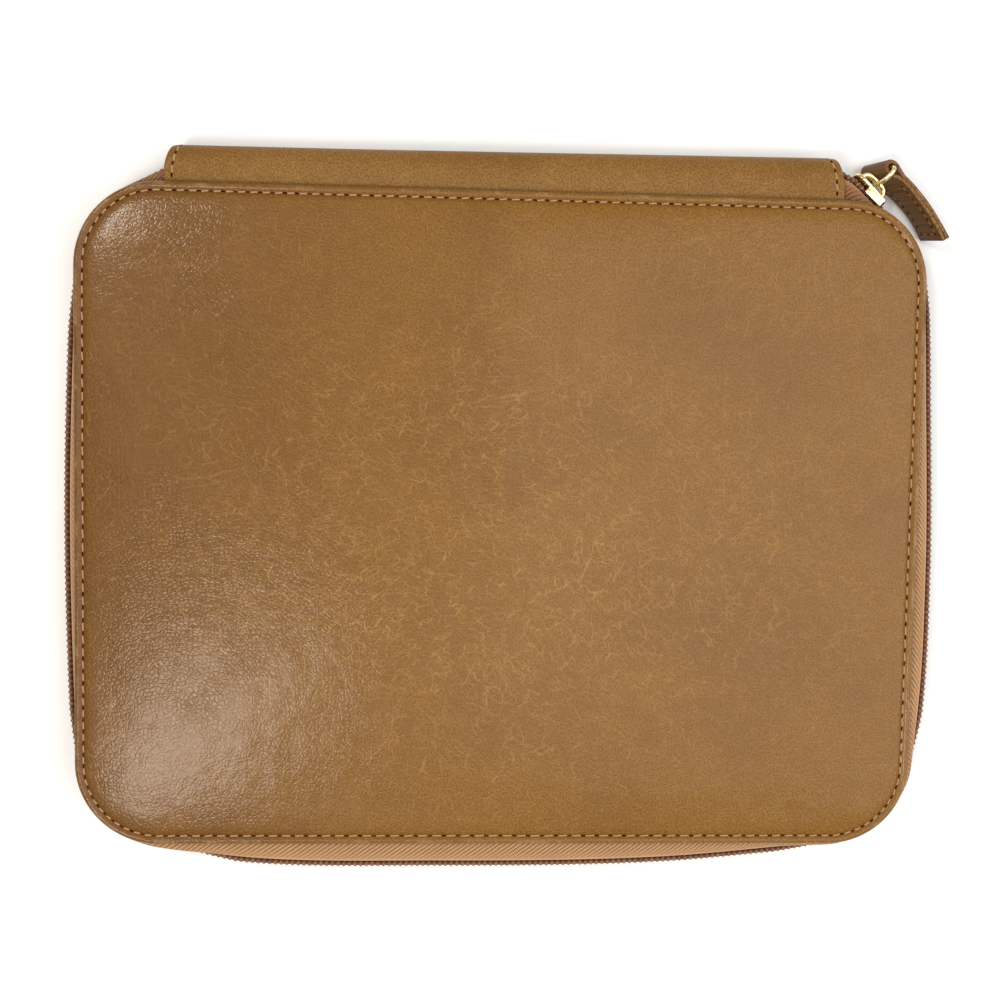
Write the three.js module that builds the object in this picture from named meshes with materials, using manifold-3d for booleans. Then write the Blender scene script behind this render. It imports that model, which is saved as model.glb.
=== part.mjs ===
// Zip-round leather document case, closed and lying on its back cover.
// Millimetres, +Z up. The origin is the centre of the back cover's flat underside.
// +X runs along the spine towards the slider, +Y points from the case's middle to the spine.
import * as THREE from "three";
import { mergeVertices } from "three/addons/utils/BufferGeometryUtils.js";
import Module from "manifold-3d";

const wasm = await Module();
wasm.setup();

// Case
const COVER_WIDTH = 306.4; // along the spine
const COVER_DEPTH = 237.6; // from the spine's edge to the opening edge
const CASE_THICKNESS = 20; // floor to the front cover's stitched edge
const CORNER_RADIUS = 30;
const GAP = 0.3; // left between pieces that touch

// Covers
const COVER_THICKNESS = 3.5; // leather, padding and board
const COVER_CROWN = 1.6; // the padding's rise in the middle of the front cover
const EDGE_ROLL = 1.5; // radius of the turned leather edge

// Spine strip
const SPINE_SETBACK = 0.7; // from the start of a corner to the spine's end
const SPINE_WALL = 1.6;
const SPINE_BULGE = 15.2; // how far it stands out behind the covers at its middle
const SPINE_END_DRAW = 2.6; // how far its ends are drawn in where it stands out most

// Zip
const ZIP_BULGE = 10.8; // how far the chain stands out at the opening edge's middle
const TAPE_WALL = 1;
const TAPE_SEAM = 9; // width of tape sewn under a cover's edge
const COIL_WIDTH = 2.9; // one half of the chain
const COIL_HEIGHT = 2.1; // how far the coil stands out from the tape
const MOUTH = 1; // half opening between the coils in front of the slider

// Slider
const SLIDER_LENGTH = 15.5;
const SLIDER_FRONT_WIDTH = 11.6;
const SLIDER_REAR_WIDTH = 10;
const SLIDER_PLATE = 1.3;
const BRIDGE_LENGTH = 12;
const BRIDGE_WIDTH = 3;
const BRIDGE_WALL = 1.3;
const BRIDGE_OPENING = 3.4; // clear height between bridge and plate

// Pull
const RING_WIRE = 1.4;
const RING_DEPTH = 7; // wire middle to wire middle, from the bridge to the straight bar
const RING_SWING = 10; // degrees that the ring swings from straight out towards the mouth
const RING_LEAN = 15; // degrees that it leans outwards with the strap
const STRAP_WIDTH = 11.3;
const STRAP_LENGTH = 36.5;
const STRAP_LAYER = 1.5;
const LOOP_BORE = 3.4; // opening of the fold round the ring's bar
const LOOP_LENGTH = 9.5; // from the fold's end to where the layers meet
const RAKE = 17; // degrees that the fold and the end are off square
const STRAP_LEAN = 14; // degrees that the strap leans outwards from standing on its edge
const LOOP_LEAN = 20; // the same at its fold
const END_LEAN = 18; // the same at its end

// Chain's distance outside the covers' outline, as shares of ZIP_BULGE, with the opening between
// the coils as a share of MOUTH and the depth that the spine's end presses the tapes down.
// Each row lies on a stretch of the outline, counterclockwise from the spine's middle.
const ZIP_LINE = [
  { stretch: "spine_left", share: 0.92, bulge: 0.83, mouth: 0, tuck: 1 },
  { stretch: "spine_left", share: 1, bulge: 0.68, mouth: 0, tuck: 1 },
  { stretch: "corner_spine_left", share: 0.09, bulge: 0.46, mouth: 0, tuck: 0.2 },
  { stretch: "corner_spine_left", share: 0.2, bulge: 0.29, mouth: 0, tuck: 0 },
  { stretch: "corner_spine_left", share: 0.4, bulge: 0.19, mouth: 0, tuck: 0 },
  { stretch: "corner_spine_left", share: 0.8, bulge: 0.2, mouth: 0, tuck: 0 },
  { stretch: "left", share: 0.15, bulge: 0.38, mouth: 0, tuck: 0 },
  { stretch: "left", share: 0.5, bulge: 0.51, mouth: 0, tuck: 0 },
  { stretch: "left", share: 0.88, bulge: 0.38, mouth: 0, tuck: 0 },
  { stretch: "corner_open_left", share: 0.35, bulge: 0.19, mouth: 0, tuck: 0 },
  { stretch: "corner_open_left", share: 0.8, bulge: 0.28, mouth: 0, tuck: 0 },
  { stretch: "open", share: 0.02, bulge: 0.5, mouth: 0, tuck: 0 },
  { stretch: "open", share: 0.12, bulge: 0.86, mouth: 0, tuck: 0 },
  { stretch: "open", share: 0.4, bulge: 1, mouth: 0, tuck: 0 },
  { stretch: "open", share: 0.75, bulge: 0.87, mouth: 0, tuck: 0 },
  { stretch: "open", share: 0.96, bulge: 0.45, mouth: 0, tuck: 0 },
  { stretch: "corner_open_right", share: 0.4, bulge: 0.19, mouth: 0, tuck: 0 },
  { stretch: "corner_open_right", share: 0.85, bulge: 0.37, mouth: 0, tuck: 0 },
  { stretch: "right", share: 0.1, bulge: 0.69, mouth: 0, tuck: 0 },
  { stretch: "right", share: 0.4, bulge: 0.79, mouth: 0, tuck: 0 },
  { stretch: "right", share: 0.75, bulge: 0.58, mouth: 0, tuck: 0 },
  { stretch: "corner_spine_right", share: 0, bulge: 0.34, mouth: 0, tuck: 0 },
  { stretch: "corner_spine_right", share: 0.28, bulge: 0.17, mouth: 0, tuck: 0 },
  { stretch: "corner_spine_right", share: 0.52, bulge: 0.15, mouth: 0, tuck: 0 },
  { stretch: "corner_spine_right", share: 0.68, bulge: 0.24, mouth: 0, tuck: 0 },
  { stretch: "corner_spine_right", share: 0.82, bulge: 0.5, mouth: 0.35, tuck: 0 },
  { stretch: "corner_spine_right", share: 0.93, bulge: 0.84, mouth: 1, tuck: 0.2 },
  { stretch: "spine_right", share: 0, bulge: 1.05, mouth: 0.4, tuck: 1 },
  { stretch: "spine_right", share: 0.08, bulge: 1.06, mouth: 0.3, tuck: 1 },
];
const SLIDER_SHARE = 0.835; // place of the slider's middle on the corner by the spine's right end

// Middle line of the spine strip's section, from under the front cover to its outermost place:
// out is a share of the bulge, up a share of the height where the strip is held.
const SPINE_SECTION = [
  { out: -0.5, up: 1 },
  { out: -0.04, up: 1 },
  { out: 0.12, up: 1.07 },
  { out: 0.38, up: 1.16 },
  { out: 0.64, up: 1.08 },
  { out: 0.86, up: 0.7 },
  { out: 0.95, up: 0 },
];

// Bulge of the spine strip along its length: along is a share of half the length.
const SPINE_BULGES = [
  { along: -1, bulge: 0.92 },
  { along: -0.97, bulge: 0.94 },
  { along: -0.5, bulge: 0.96 },
  { along: 0, bulge: 1 },
  { along: 0.5, bulge: 1.05 },
  { along: 0.97, bulge: 1.09 },
  { along: 1, bulge: 1.07 },
];

// Crown of the front cover: inset is a share of half the depth, rise a share of COVER_CROWN.
const CROWN = [
  { inset: 0.03, rise: 0.03 },
  { inset: 0.1, rise: 0.3 },
  { inset: 0.25, rise: 0.62 },
  { inset: 0.5, rise: 0.92 },
  { inset: 0.75, rise: 1 },
];

// Route of the pull strap from the ring's bar: along is a share of its length, heading is in degrees
// from the slider's outward direction, height goes from 1 at the ring to 0 by the floor.
const STRAP_ROUTE = [
  { along: 0, heading: -90, height: 1, lean: LOOP_LEAN },
  { along: 0.2, heading: -84, height: 0.85, lean: LOOP_LEAN },
  { along: 0.45, heading: -93, height: 0.4, lean: STRAP_LEAN },
  { along: 0.7, heading: -104, height: 0.1, lean: STRAP_LEAN },
  { along: 1, heading: -110, height: 0, lean: END_LEAN },
];

const STRAIGHT_STEP = 12; // longest facet on a straight stretch
const CORNER_STEPS = 8; // facets on a quarter turn
const ROUND_STEPS = 8; // facets on a half turn of a small radius

const halfWidth = COVER_WIDTH / 2;
const halfDepth = COVER_DEPTH / 2;
const middle = CASE_THICKNESS / 2;
const rakeSlope = Math.tan(THREE.MathUtils.degToRad(RAKE));
const spineLength = COVER_WIDTH - 2 * (CORNER_RADIUS + SPINE_SETBACK);
const UP = new THREE.Vector3(0, 0, 1);

const leather = new THREE.MeshStandardMaterial({ color: 0xa07644, roughness: 0.45 });
const shadedLeather = new THREE.MeshStandardMaterial({ color: 0x6b4c2c, roughness: 0.5 });
const tapeCloth = new THREE.MeshStandardMaterial({ color: 0xc49a68, roughness: 0.85 });
const nylon = new THREE.MeshStandardMaterial({ color: 0x4e3828, roughness: 0.4 });
const gold = new THREE.MeshStandardMaterial({ color: 0xe6cd8c, roughness: 0.22, metalness: 1 });

// A linear reading of a table's column at a place between its rows.
function reading(rows, key, column) {
  const places = rows.map((row) => row[key]);
  const values = rows.map((row) => row[column]);
  const line = new THREE.LinearInterpolant(places, values, 1);
  return (at) => line.evaluate(at)[0];
}

// The same, as a smooth curve through the rows.
function smoothReading(rows, key, column) {
  const places = rows.map((row) => row[key]);
  const values = rows.map((row) => row[column]);
  const curve = new THREE.CubicInterpolant(places, values, 1);
  return (at) => curve.evaluate(at)[0];
}

// Triangles of a flat contour, wound as the contour is.
function capTriangles(contour) {
  const sense = Math.sign(THREE.ShapeUtils.area(contour));
  return THREE.ShapeUtils.triangulateShape(contour, []).map(([a, b, c]) => {
    const area = THREE.ShapeUtils.area([contour[a], contour[b], contour[c]]);
    return area * sense < 0 ? [a, c, b] : [a, b, c];
  });
}

// Volume inside a closed indexed surface, negative when its faces point in.
function signedVolume(points, index) {
  let sum = 0;
  for (let k = 0; k < index.length; k += 3) {
    const [a, b, c] = [points[index[k]], points[index[k + 1]], points[index[k + 2]]];
    sum += a.dot(new THREE.Vector3().crossVectors(b, c)) / 6;
  }
  return sum;
}

// One closed surface from points and triangles, with its faces turned outwards.
function closedSurface(points, index) {
  if (signedVolume(points, index) < 0) index.reverse();
  return new THREE.BufferGeometry().setFromPoints(points).setIndex(index);
}

// One closed surface through rings of matching points, with its two ends capped.
// firstCap and lastCap are the end rings as flat contours.
function skin(rings, firstCap, lastCap) {
  const count = rings[0].length;
  const index = [];
  for (let ring = 0; ring + 1 < rings.length; ring++)
    for (let k = 0; k < count; k++) {
      const a = ring * count + k;
      const b = ring * count + ((k + 1) % count);
      index.push(a, b, b + count, a, b + count, a + count);
    }
  const last = (rings.length - 1) * count;
  for (const [a, b, c] of capTriangles(firstCap)) index.push(a, c, b);
  for (const [a, b, c] of capTriangles(lastCap)) index.push(last + a, last + b, last + c);
  return closedSurface(rings.flat(), index);
}

// The contour of a wall of even thickness along a middle line of places and weights.
function wallContour(line, wall) {
  const sides = [[], []];
  line.forEach((place, k) => {
    const before = line[Math.max(k - 1, 0)];
    const after = line[Math.min(k + 1, line.length - 1)];
    const run = new THREE.Vector2(after.out - before.out, after.up - before.up).normalize();
    for (const [side, sign] of [[0, 1], [1, -1]])
      sides[side].push({
        out: place.out - (sign * run.y * wall) / 2,
        up: place.up + (sign * run.x * wall) / 2,
        weight: place.weight ?? 0,
      });
  });
  return [...sides[0], ...sides[1].reverse()];
}

const flat = (contour) => contour.map((place) => new THREE.Vector2(place.out, place.up));

// A solid from a closed geometry, for cutting and joining.
function solidOf(geometry) {
  const bare = geometry.clone();
  bare.deleteAttribute("normal");
  bare.deleteAttribute("uv");
  const merged = mergeVertices(bare, 1e-4);
  const vertProperties = merged.attributes.position.array;
  const triVerts = new Uint32Array(merged.index.array);
  return new wasm.Manifold(new wasm.Mesh({ numProp: 3, vertProperties, triVerts }));
}

// The geometry of a cut or joined solid.
function geometryOf(solid) {
  const { vertProperties, triVerts } = solid.getMesh();
  return new THREE.BufferGeometry()
    .setAttribute("position", new THREE.BufferAttribute(vertProperties, 3))
    .setIndex(new THREE.BufferAttribute(triVerts, 1));
}

// The covers' outline drawn in by an inset, counterclockwise.
function coverOutline(inset) {
  const radius = Math.max(CORNER_RADIUS - inset, CORNER_RADIUS / 5);
  const outline = [];
  for (const [x, y, start] of [[1, 1, 0], [-1, 1, 90], [-1, -1, 180], [1, -1, 270]])
    for (let k = 0; k <= CORNER_STEPS; k++) {
      const angle = THREE.MathUtils.degToRad(start + (90 * k) / CORNER_STEPS);
      outline.push(
        new THREE.Vector2(
          x * (halfWidth - inset - radius) + radius * Math.cos(angle),
          y * (halfDepth - inset - radius) + radius * Math.sin(angle),
        ),
      );
    }
  return outline;
}

// A cover from levels of inset and height.
function coverSolid(levels) {
  const outlines = levels.map(({ inset }) => coverOutline(inset));
  const rings = outlines.map((outline, k) =>
    outline.map(({ x, y }) => new THREE.Vector3(x, y, levels[k].height)),
  );
  return skin(rings, outlines[0], outlines[outlines.length - 1]);
}

// Levels of a turned edge that rises from one face's height to the other's round its outside.
function turnedEdge(lower, upper) {
  const levels = [{ inset: EDGE_ROLL * 0.5, height: lower }];
  levels.push({ inset: 0, height: lower + EDGE_ROLL * 0.5 });
  for (let k = 0; k <= 3; k++) {
    const angle = (Math.PI / 2) * (k / 3);
    const inset = EDGE_ROLL * (1 - Math.cos(angle));
    levels.push({ inset, height: upper - EDGE_ROLL * (1 - Math.sin(angle)) });
  }
  return levels;
}

function frontCover() {
  const levels = turnedEdge(CASE_THICKNESS - COVER_THICKNESS, CASE_THICKNESS);
  for (const { inset, rise } of CROWN)
    levels.push({ inset: halfDepth * inset, height: CASE_THICKNESS + COVER_CROWN * rise });
  return coverSolid(levels);
}

// The back cover is the same plate turned over, flat where it rests.
function backCover() {
  const levels = turnedEdge(0, COVER_THICKNESS);
  return coverSolid(levels.map(({ inset, height }) => ({ inset, height: COVER_THICKNESS - height })));
}

// The covers' outline as named stretches, counterclockwise from the spine's middle.
function outlineStretches() {
  const x = halfWidth - CORNER_RADIUS;
  const y = halfDepth - CORNER_RADIUS;
  const rim = new THREE.Path().moveTo(0, halfDepth).lineTo(-x, halfDepth);
  rim.absarc(-x, y, CORNER_RADIUS, Math.PI / 2, Math.PI).lineTo(-halfWidth, -y);
  rim.absarc(-x, -y, CORNER_RADIUS, Math.PI, 1.5 * Math.PI).lineTo(x, -halfDepth);
  rim.absarc(x, -y, CORNER_RADIUS, 1.5 * Math.PI, 2 * Math.PI).lineTo(halfWidth, y);
  rim.absarc(x, y, CORNER_RADIUS, 0, Math.PI / 2).lineTo(0, halfDepth);
  const names = ["spine_left", "corner_spine_left", "left", "corner_open_left", "open"];
  names.push("corner_open_right", "right", "corner_spine_right", "spine_right");
  let start = 0;
  return names.map((name, k) => {
    const length = k % 2 ? (Math.PI / 2) * CORNER_RADIUS : rim.curves[k].getLength();
    const stretch = { name, start, length, curve: rim.curves[k] };
    start += length;
    return stretch;
  });
}

const stretches = outlineStretches();

// Distance along the outline of a place on a named stretch.
function placeOf(name, share) {
  const { start, length } = stretches.find((stretch) => stretch.name === name);
  return start + length * share;
}

const zipRows = ZIP_LINE.map((row) => ({ ...row, at: placeOf(row.stretch, row.share) }));
const bulgeAt = smoothReading(zipRows, "at", "bulge");
const mouthAt = reading(zipRows, "at", "mouth");
const tuckAt = reading(zipRows, "at", "tuck");

// A point of the outline with its outward direction.
function rimAt(at) {
  const found = stretches.findIndex(({ start, length }) => at < start + length);
  const { start, length, curve } = stretches.at(found);
  const share = (at - start) / length;
  const point = curve.getPoint(share);
  const run = curve.getTangent(share);
  return { point, out: new THREE.Vector2(run.y, -run.x) };
}

// The chain's outer line in plan.
function chainPoint(at) {
  const { point, out } = rimAt(at);
  return point.addScaledVector(out, ZIP_BULGE * bulgeAt(at));
}

// One station of the zip: the outline's frame, the chain's frame and the section's own sizes.
function zipStation(at) {
  const rim = rimAt(at);
  const run = chainPoint(at + 0.5).sub(chainPoint(at - 0.5)).normalize();
  return {
    rim,
    chain: { point: chainPoint(at), out: new THREE.Vector2(run.y, -run.x) },
    bulge: ZIP_BULGE * bulgeAt(at),
    split: GAP / 2 + MOUTH * mouthAt(at),
    tuck: tuckAt(at) * (SPINE_WALL + GAP),
  };
}

// Stations along the whole zip, close together on the corners.
function zipStations() {
  const first = zipRows[0].at;
  const last = zipRows[zipRows.length - 1].at;
  const places = [];
  stretches.forEach(({ start, length }, k) => {
    const steps = k % 2 ? CORNER_STEPS : Math.ceil(length / STRAIGHT_STEP);
    for (let step = 0; step < steps; step++) places.push(start + (length * step) / steps);
  });
  const kept = places.filter((at) => at > first + 2 && at < last - 2);
  return [first, ...kept, last].map(zipStation);
}

// A place in a zip section, carried from the outline's frame to the chain's by its weight.
function placed(station, { out, up, weight }, side) {
  const { rim, chain, bulge } = station;
  const fromRim = rim.point.clone().addScaledVector(rim.out, out);
  const fromChain = chain.point.clone().addScaledVector(chain.out, out - bulge);
  const plan = fromRim.lerp(fromChain, weight);
  return new THREE.Vector3(plan.x, plan.y, middle + side * up);
}

// Height of the tape above the case's middle where a cover or the spine's end holds it.
function heldHeight(station) {
  return middle - COVER_THICKNESS - GAP - TAPE_WALL / 2 - station.tuck;
}

// Section of the front tape: held flat under the cover, then curved out and down to the chain.
function tapeSection(station, grow) {
  const held = heldHeight(station);
  const out = station.bulge - COIL_HEIGHT - GAP - TAPE_WALL / 2;
  const shoulder = Math.min(station.split + COIL_WIDTH + TAPE_WALL / 4, held);
  const start = new THREE.Vector2(-2 * TAPE_WALL, held);
  const bend = new THREE.QuadraticBezierCurve(
    start,
    new THREE.Vector2(start.x + (out - start.x) * 0.8, held),
    new THREE.Vector2(out, shoulder),
  );
  const line = [{ out: -TAPE_SEAM - grow, up: held, weight: 0 }];
  const steps = 3;
  bend.getPoints(steps).forEach(({ x, y }, k) => line.push({ out: x, up: y, weight: k / steps }));
  line.push({ out, up: station.split - grow, weight: 1 });
  return wallContour(line, TAPE_WALL + 2 * grow);
}

// Section of the front half of the coil: a band with its outer corners taken off.
function coilSection(station, grow) {
  const low = station.split - grow;
  const high = Math.min(station.split + COIL_WIDTH, heldHeight(station)) + grow;
  const outer = station.bulge + grow;
  const inner = station.bulge - COIL_HEIGHT - grow;
  const round = COIL_HEIGHT / 3;
  const contour = [
    { out: inner, up: low },
    { out: outer - round / 2, up: low },
    { out: outer, up: low + round / 2 },
    { out: outer, up: high - round },
    { out: outer - round, up: high },
    { out: inner, up: high },
  ];
  return contour.map((place) => ({ ...place, weight: 1 }));
}

// A band of the zip with a given section; side is 1 by the front cover and -1 by the back cover.
function zipBand(stations, section, side, grow = 0) {
  const contours = stations.map((station) => section(station, grow));
  const rings = contours.map((contour, k) =>
    contour.map((place) => placed(stations[k], place, side)),
  );
  return skin(rings, flat(contours[0]), flat(contours[contours.length - 1]));
}

// The spine strip's section for a bulge, from under the front cover round to the back cover.
function spineSection(bulge) {
  const held = middle - COVER_THICKNESS - GAP - SPINE_WALL / 2;
  const half = SPINE_SECTION.map(({ out, up }) => new THREE.Vector2(bulge * out, held * up));
  const mirrored = half.slice(0, -1).reverse().map(({ x, y }) => new THREE.Vector2(x, -y));
  const curve = new THREE.SplineCurve([...half, ...mirrored]);
  return wallContour(
    curve.getPoints(3 * ROUND_STEPS).map(({ x, y }) => ({ out: x, up: y })),
    SPINE_WALL,
  );
}

function spine() {
  const bulges = SPINE_BULGES.map(({ bulge }) => SPINE_BULGE * bulge);
  const contours = bulges.map(spineSection);
  const rings = contours.map((contour, k) =>
    contour.map(({ out, up }) => {
      const drawn = SPINE_END_DRAW * (Math.max(out, 0) / bulges[k]) ** 2;
      const x = SPINE_BULGES[k].along * (spineLength / 2 - drawn);
      return new THREE.Vector3(x, halfDepth + out, middle + up);
    }),
  );
  return skin(rings, flat(contours[0]), flat(contours[contours.length - 1]));
}

// A flat plate of the slider: an outline along and across it, from one level to another.
function sliderPlate(length, frontWidth, rearWidth, from, to) {
  const round = rearWidth / 4;
  const outline = new THREE.Shape();
  outline.moveTo(-length / 2, rearWidth / 2 - round);
  outline.lineTo(-length / 2, round - rearWidth / 2);
  outline.quadraticCurveTo(-length / 2, -rearWidth / 2, round - length / 2, -rearWidth / 2);
  outline.lineTo(length / 4, -frontWidth / 2);
  outline.quadraticCurveTo(length / 2, -frontWidth / 2, length / 2, -frontWidth / 6);
  outline.lineTo(length / 2, frontWidth / 6);
  outline.quadraticCurveTo(length / 2, frontWidth / 2, length / 4, frontWidth / 2);
  outline.lineTo(round - length / 2, rearWidth / 2);
  outline.quadraticCurveTo(-length / 2, rearWidth / 2, -length / 2, rearWidth / 2 - round);
  const options = { depth: to - from, bevelEnabled: false, curveSegments: 4 };
  const plate = new THREE.ExtrudeGeometry(outline, options);
  return plate.rotateX(Math.PI / 2).translate(0, to, 0);
}

// A block between two corners.
function block(low, high) {
  const size = new THREE.Vector3().subVectors(high, low);
  const centre = new THREE.Vector3().addVectors(low, high).multiplyScalar(0.5);
  return new THREE.BoxGeometry(size.x, size.y, size.z).translate(centre.x, centre.y, centre.z);
}

// The bridge: an arch along the slider, with its feet sunk in the outer plate.
function sliderBridge(plateFace) {
  const foot = plateFace - SLIDER_PLATE / 2;
  const top = plateFace + BRIDGE_OPENING;
  const half = BRIDGE_LENGTH / 2;
  const arch = new THREE.Shape();
  arch.moveTo(-half, foot);
  arch.bezierCurveTo(-half, top + BRIDGE_WALL, -half / 2, top + BRIDGE_WALL, 0, top + BRIDGE_WALL);
  arch.bezierCurveTo(half / 2, top + BRIDGE_WALL, half, top + BRIDGE_WALL, half, foot);
  arch.lineTo(half - BRIDGE_WALL, foot);
  const inside = half - BRIDGE_WALL;
  arch.bezierCurveTo(inside, top, half / 2, top, 0, top);
  arch.bezierCurveTo(-half / 2, top, -inside, top, -inside, foot);
  const options = { depth: BRIDGE_WIDTH, bevelEnabled: false, curveSegments: ROUND_STEPS };
  return new THREE.ExtrudeGeometry(arch, options).translate(0, 0, -BRIDGE_WIDTH / 2);
}

// The slider in its own frame: x towards its mouth, y outwards from the coil's face, z up.
function sliderBody() {
  const outer = GAP + SLIDER_PLATE;
  const inner = -COIL_HEIGHT - TAPE_WALL - 2 * GAP;
  const front = SLIDER_LENGTH / 2;
  const channel = COIL_WIDTH + 3 * GAP;
  const post = MOUTH - GAP;
  const pieces = [
    sliderPlate(SLIDER_LENGTH, SLIDER_FRONT_WIDTH, SLIDER_REAR_WIDTH, GAP, outer),
    sliderPlate(
      SLIDER_LENGTH - 2 * SLIDER_PLATE,
      2 * COIL_WIDTH,
      2 * COIL_WIDTH,
      inner - SLIDER_PLATE,
      inner,
    ),
    block(
      new THREE.Vector3(front * 0.35, inner - SLIDER_PLATE / 2, -post),
      new THREE.Vector3(front * 0.8, GAP + SLIDER_PLATE / 2, post),
    ),
    sliderBridge(outer),
  ];
  for (const side of [-1, 1]) {
    const near = side * channel;
    const far = (side * SLIDER_REAR_WIDTH) / 2;
    pieces.push(
      block(
        new THREE.Vector3(-front * 0.85, -COIL_HEIGHT, Math.min(near, far)),
        new THREE.Vector3(front * 0.15, GAP + SLIDER_PLATE / 2, Math.max(near, far)),
      ),
    );
  }
  return pieces.map(solidOf).reduce((sum, piece) => sum.add(piece));
}

// The slider's frame on the chain: a matrix from its own axes to the case's.
function sliderFrame() {
  const { chain } = zipStation(placeOf("corner_spine_right", SLIDER_SHARE));
  const out = new THREE.Vector3(chain.out.x, chain.out.y, 0);
  const run = new THREE.Vector3().crossVectors(UP, out);
  const down = new THREE.Vector3().crossVectors(run, out);
  const origin = new THREE.Vector3(chain.point.x, chain.point.y, middle);
  return new THREE.Matrix4().makeBasis(run, out, down).setPosition(origin);
}

// The slider, with room cut in it for the tapes and coils that pass through.
function slider(frame, stations) {
  let body = sliderBody().transform(frame.elements);
  for (const side of [-1, 1])
    for (const section of [tapeSection, coilSection])
      body = body.subtract(solidOf(zipBand(stations, section, side, GAP)));
  return geometryOf(body);
}

// The direction across the strap for a direction along it and a lean away from upright.
function acrossStrap(along, lean) {
  const level = new THREE.Vector3().crossVectors(UP, along).normalize();
  const tilt = THREE.MathUtils.degToRad(lean);
  const across = level.multiplyScalar(Math.sin(tilt)).addScaledVector(UP, Math.cos(tilt));
  return across.addScaledVector(along, -across.dot(along)).normalize();
}

// The level direction at an angle in degrees from another level direction.
function turned(direction, degrees) {
  return direction.clone().applyAxisAngle(UP, THREE.MathUtils.degToRad(degrees));
}

// The pull's frame: the ring's place in the bridge, its bar's direction and its way out.
function ringFrame(frame) {
  const out = new THREE.Vector3().setFromMatrixColumn(frame, 1);
  const along = turned(out, STRAP_ROUTE[0].heading);
  const bar = acrossStrap(along, RING_LEAN).addScaledVector(along, rakeSlope).normalize();
  const wayOut = turned(out, RING_SWING);
  wayOut.addScaledVector(bar, -wayOut.dot(bar)).normalize();
  const opening = GAP + SLIDER_PLATE + BRIDGE_OPENING / 2;
  const origin = new THREE.Vector3(0, opening, 0).applyMatrix4(frame);
  return { origin, wayOut, bar, out };
}

// The D ring in its own frame: the bow's top at the origin, the bar across at x = RING_DEPTH.
function ringShape() {
  const half = (STRAP_WIDTH / 2) * Math.hypot(1, rakeSlope) + RING_WIRE + GAP;
  const corner = RING_WIRE;
  const bow = new THREE.Path();
  bow.absellipse(RING_DEPTH - corner, 0, RING_DEPTH - corner, half, Math.PI / 2, 1.5 * Math.PI);
  bow.quadraticCurveTo(RING_DEPTH, -half, RING_DEPTH, -half + corner);
  bow.lineTo(RING_DEPTH, half - corner);
  bow.quadraticCurveTo(RING_DEPTH, half, RING_DEPTH - corner, half);
  const points = bow.getSpacedPoints(5 * ROUND_STEPS).slice(0, -1);
  const line = new THREE.CatmullRomCurve3(points.map(({ x, y }) => new THREE.Vector3(x, y, 0)), true);
  return new THREE.TubeGeometry(line, 5 * ROUND_STEPS, RING_WIRE / 2, ROUND_STEPS, true);
}

// Stations along the strap's middle, each with its three directions.
function strapStations({ origin, wayOut, out }) {
  const bar = origin.clone().addScaledVector(wayOut, RING_DEPTH);
  const lean = THREE.MathUtils.degToRad(END_LEAN);
  const drop = (STRAP_WIDTH / 2) * Math.cos(lean) + STRAP_LAYER * Math.sin(lean);
  const floor = 2 * GAP + drop;
  const headingAt = smoothReading(STRAP_ROUTE, "along", "heading");
  const heightAt = smoothReading(STRAP_ROUTE, "along", "height");
  const leanAt = smoothReading(STRAP_ROUTE, "along", "lean");
  const steps = 2 * ROUND_STEPS;
  const step = STRAP_LENGTH / steps;
  const points = [];
  const place = bar.clone();
  for (let k = 0; k <= steps; k++) {
    const share = k / steps;
    points.push({ place: place.clone(), lean: leanAt(share) });
    place.addScaledVector(turned(out, headingAt(share)), step);
    place.z = floor + (bar.z - floor) * heightAt(Math.min((k + 1) / steps, 1));
  }
  return points.map(({ place: middlePoint, lean: tilt }, k) => {
    const before = points[Math.max(k - 1, 0)].place;
    const after = points[Math.min(k + 1, steps)].place;
    const along = new THREE.Vector3().subVectors(after, before).normalize();
    const across = acrossStrap(along, tilt);
    const through = new THREE.Vector3().crossVectors(across, along);
    return { at: k * step, place: middlePoint, along, across, through };
  });
}

// A point at a distance along the strap from the bar, through its thickness and across its width.
function strapPoint(stations, along, through, across) {
  const last = stations.length - 2;
  const step = stations[1].at;
  const at = along + across * rakeSlope;
  const k = Math.min(Math.max(Math.floor(at / step), 0), last);
  const share = (at - stations[k].at) / step;
  const mix = Math.min(Math.max(share, 0), 1);
  const [a, b] = [stations[k], stations[k + 1]];
  return new THREE.Vector3()
    .lerpVectors(a.place, b.place, share)
    .addScaledVector(new THREE.Vector3().lerpVectors(a.through, b.through, mix), through)
    .addScaledVector(new THREE.Vector3().lerpVectors(a.across, b.across, mix), across);
}

// The folded strap seen along the ring's bar: its outline and the loop's opening.
function strapProfile() {
  const outer = LOOP_BORE / 2 + STRAP_LAYER;
  const neck = LOOP_LENGTH - outer;
  const end = STRAP_LENGTH - outer;
  const outline = [];
  const opening = [];
  for (let k = 0; k <= ROUND_STEPS; k++) {
    const angle = Math.PI / 2 + (Math.PI * k) / ROUND_STEPS;
    outline.push(new THREE.Vector2(outer * Math.cos(angle), outer * Math.sin(angle)));
    const bore = LOOP_BORE / 2;
    opening.push(new THREE.Vector2(bore * Math.cos(angle), bore * Math.sin(angle)));
  }
  opening.push(new THREE.Vector2(neck, 0));
  const steps = ROUND_STEPS;
  const edge = [];
  for (let k = 0; k <= steps; k++) edge.push(neck + ((end - neck) * k) / steps);
  outline.push(...edge.map((x) => new THREE.Vector2(x, -STRAP_LAYER)));
  outline.push(...edge.reverse().map((x) => new THREE.Vector2(x, STRAP_LAYER)));
  return { outline, opening };
}

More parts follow.
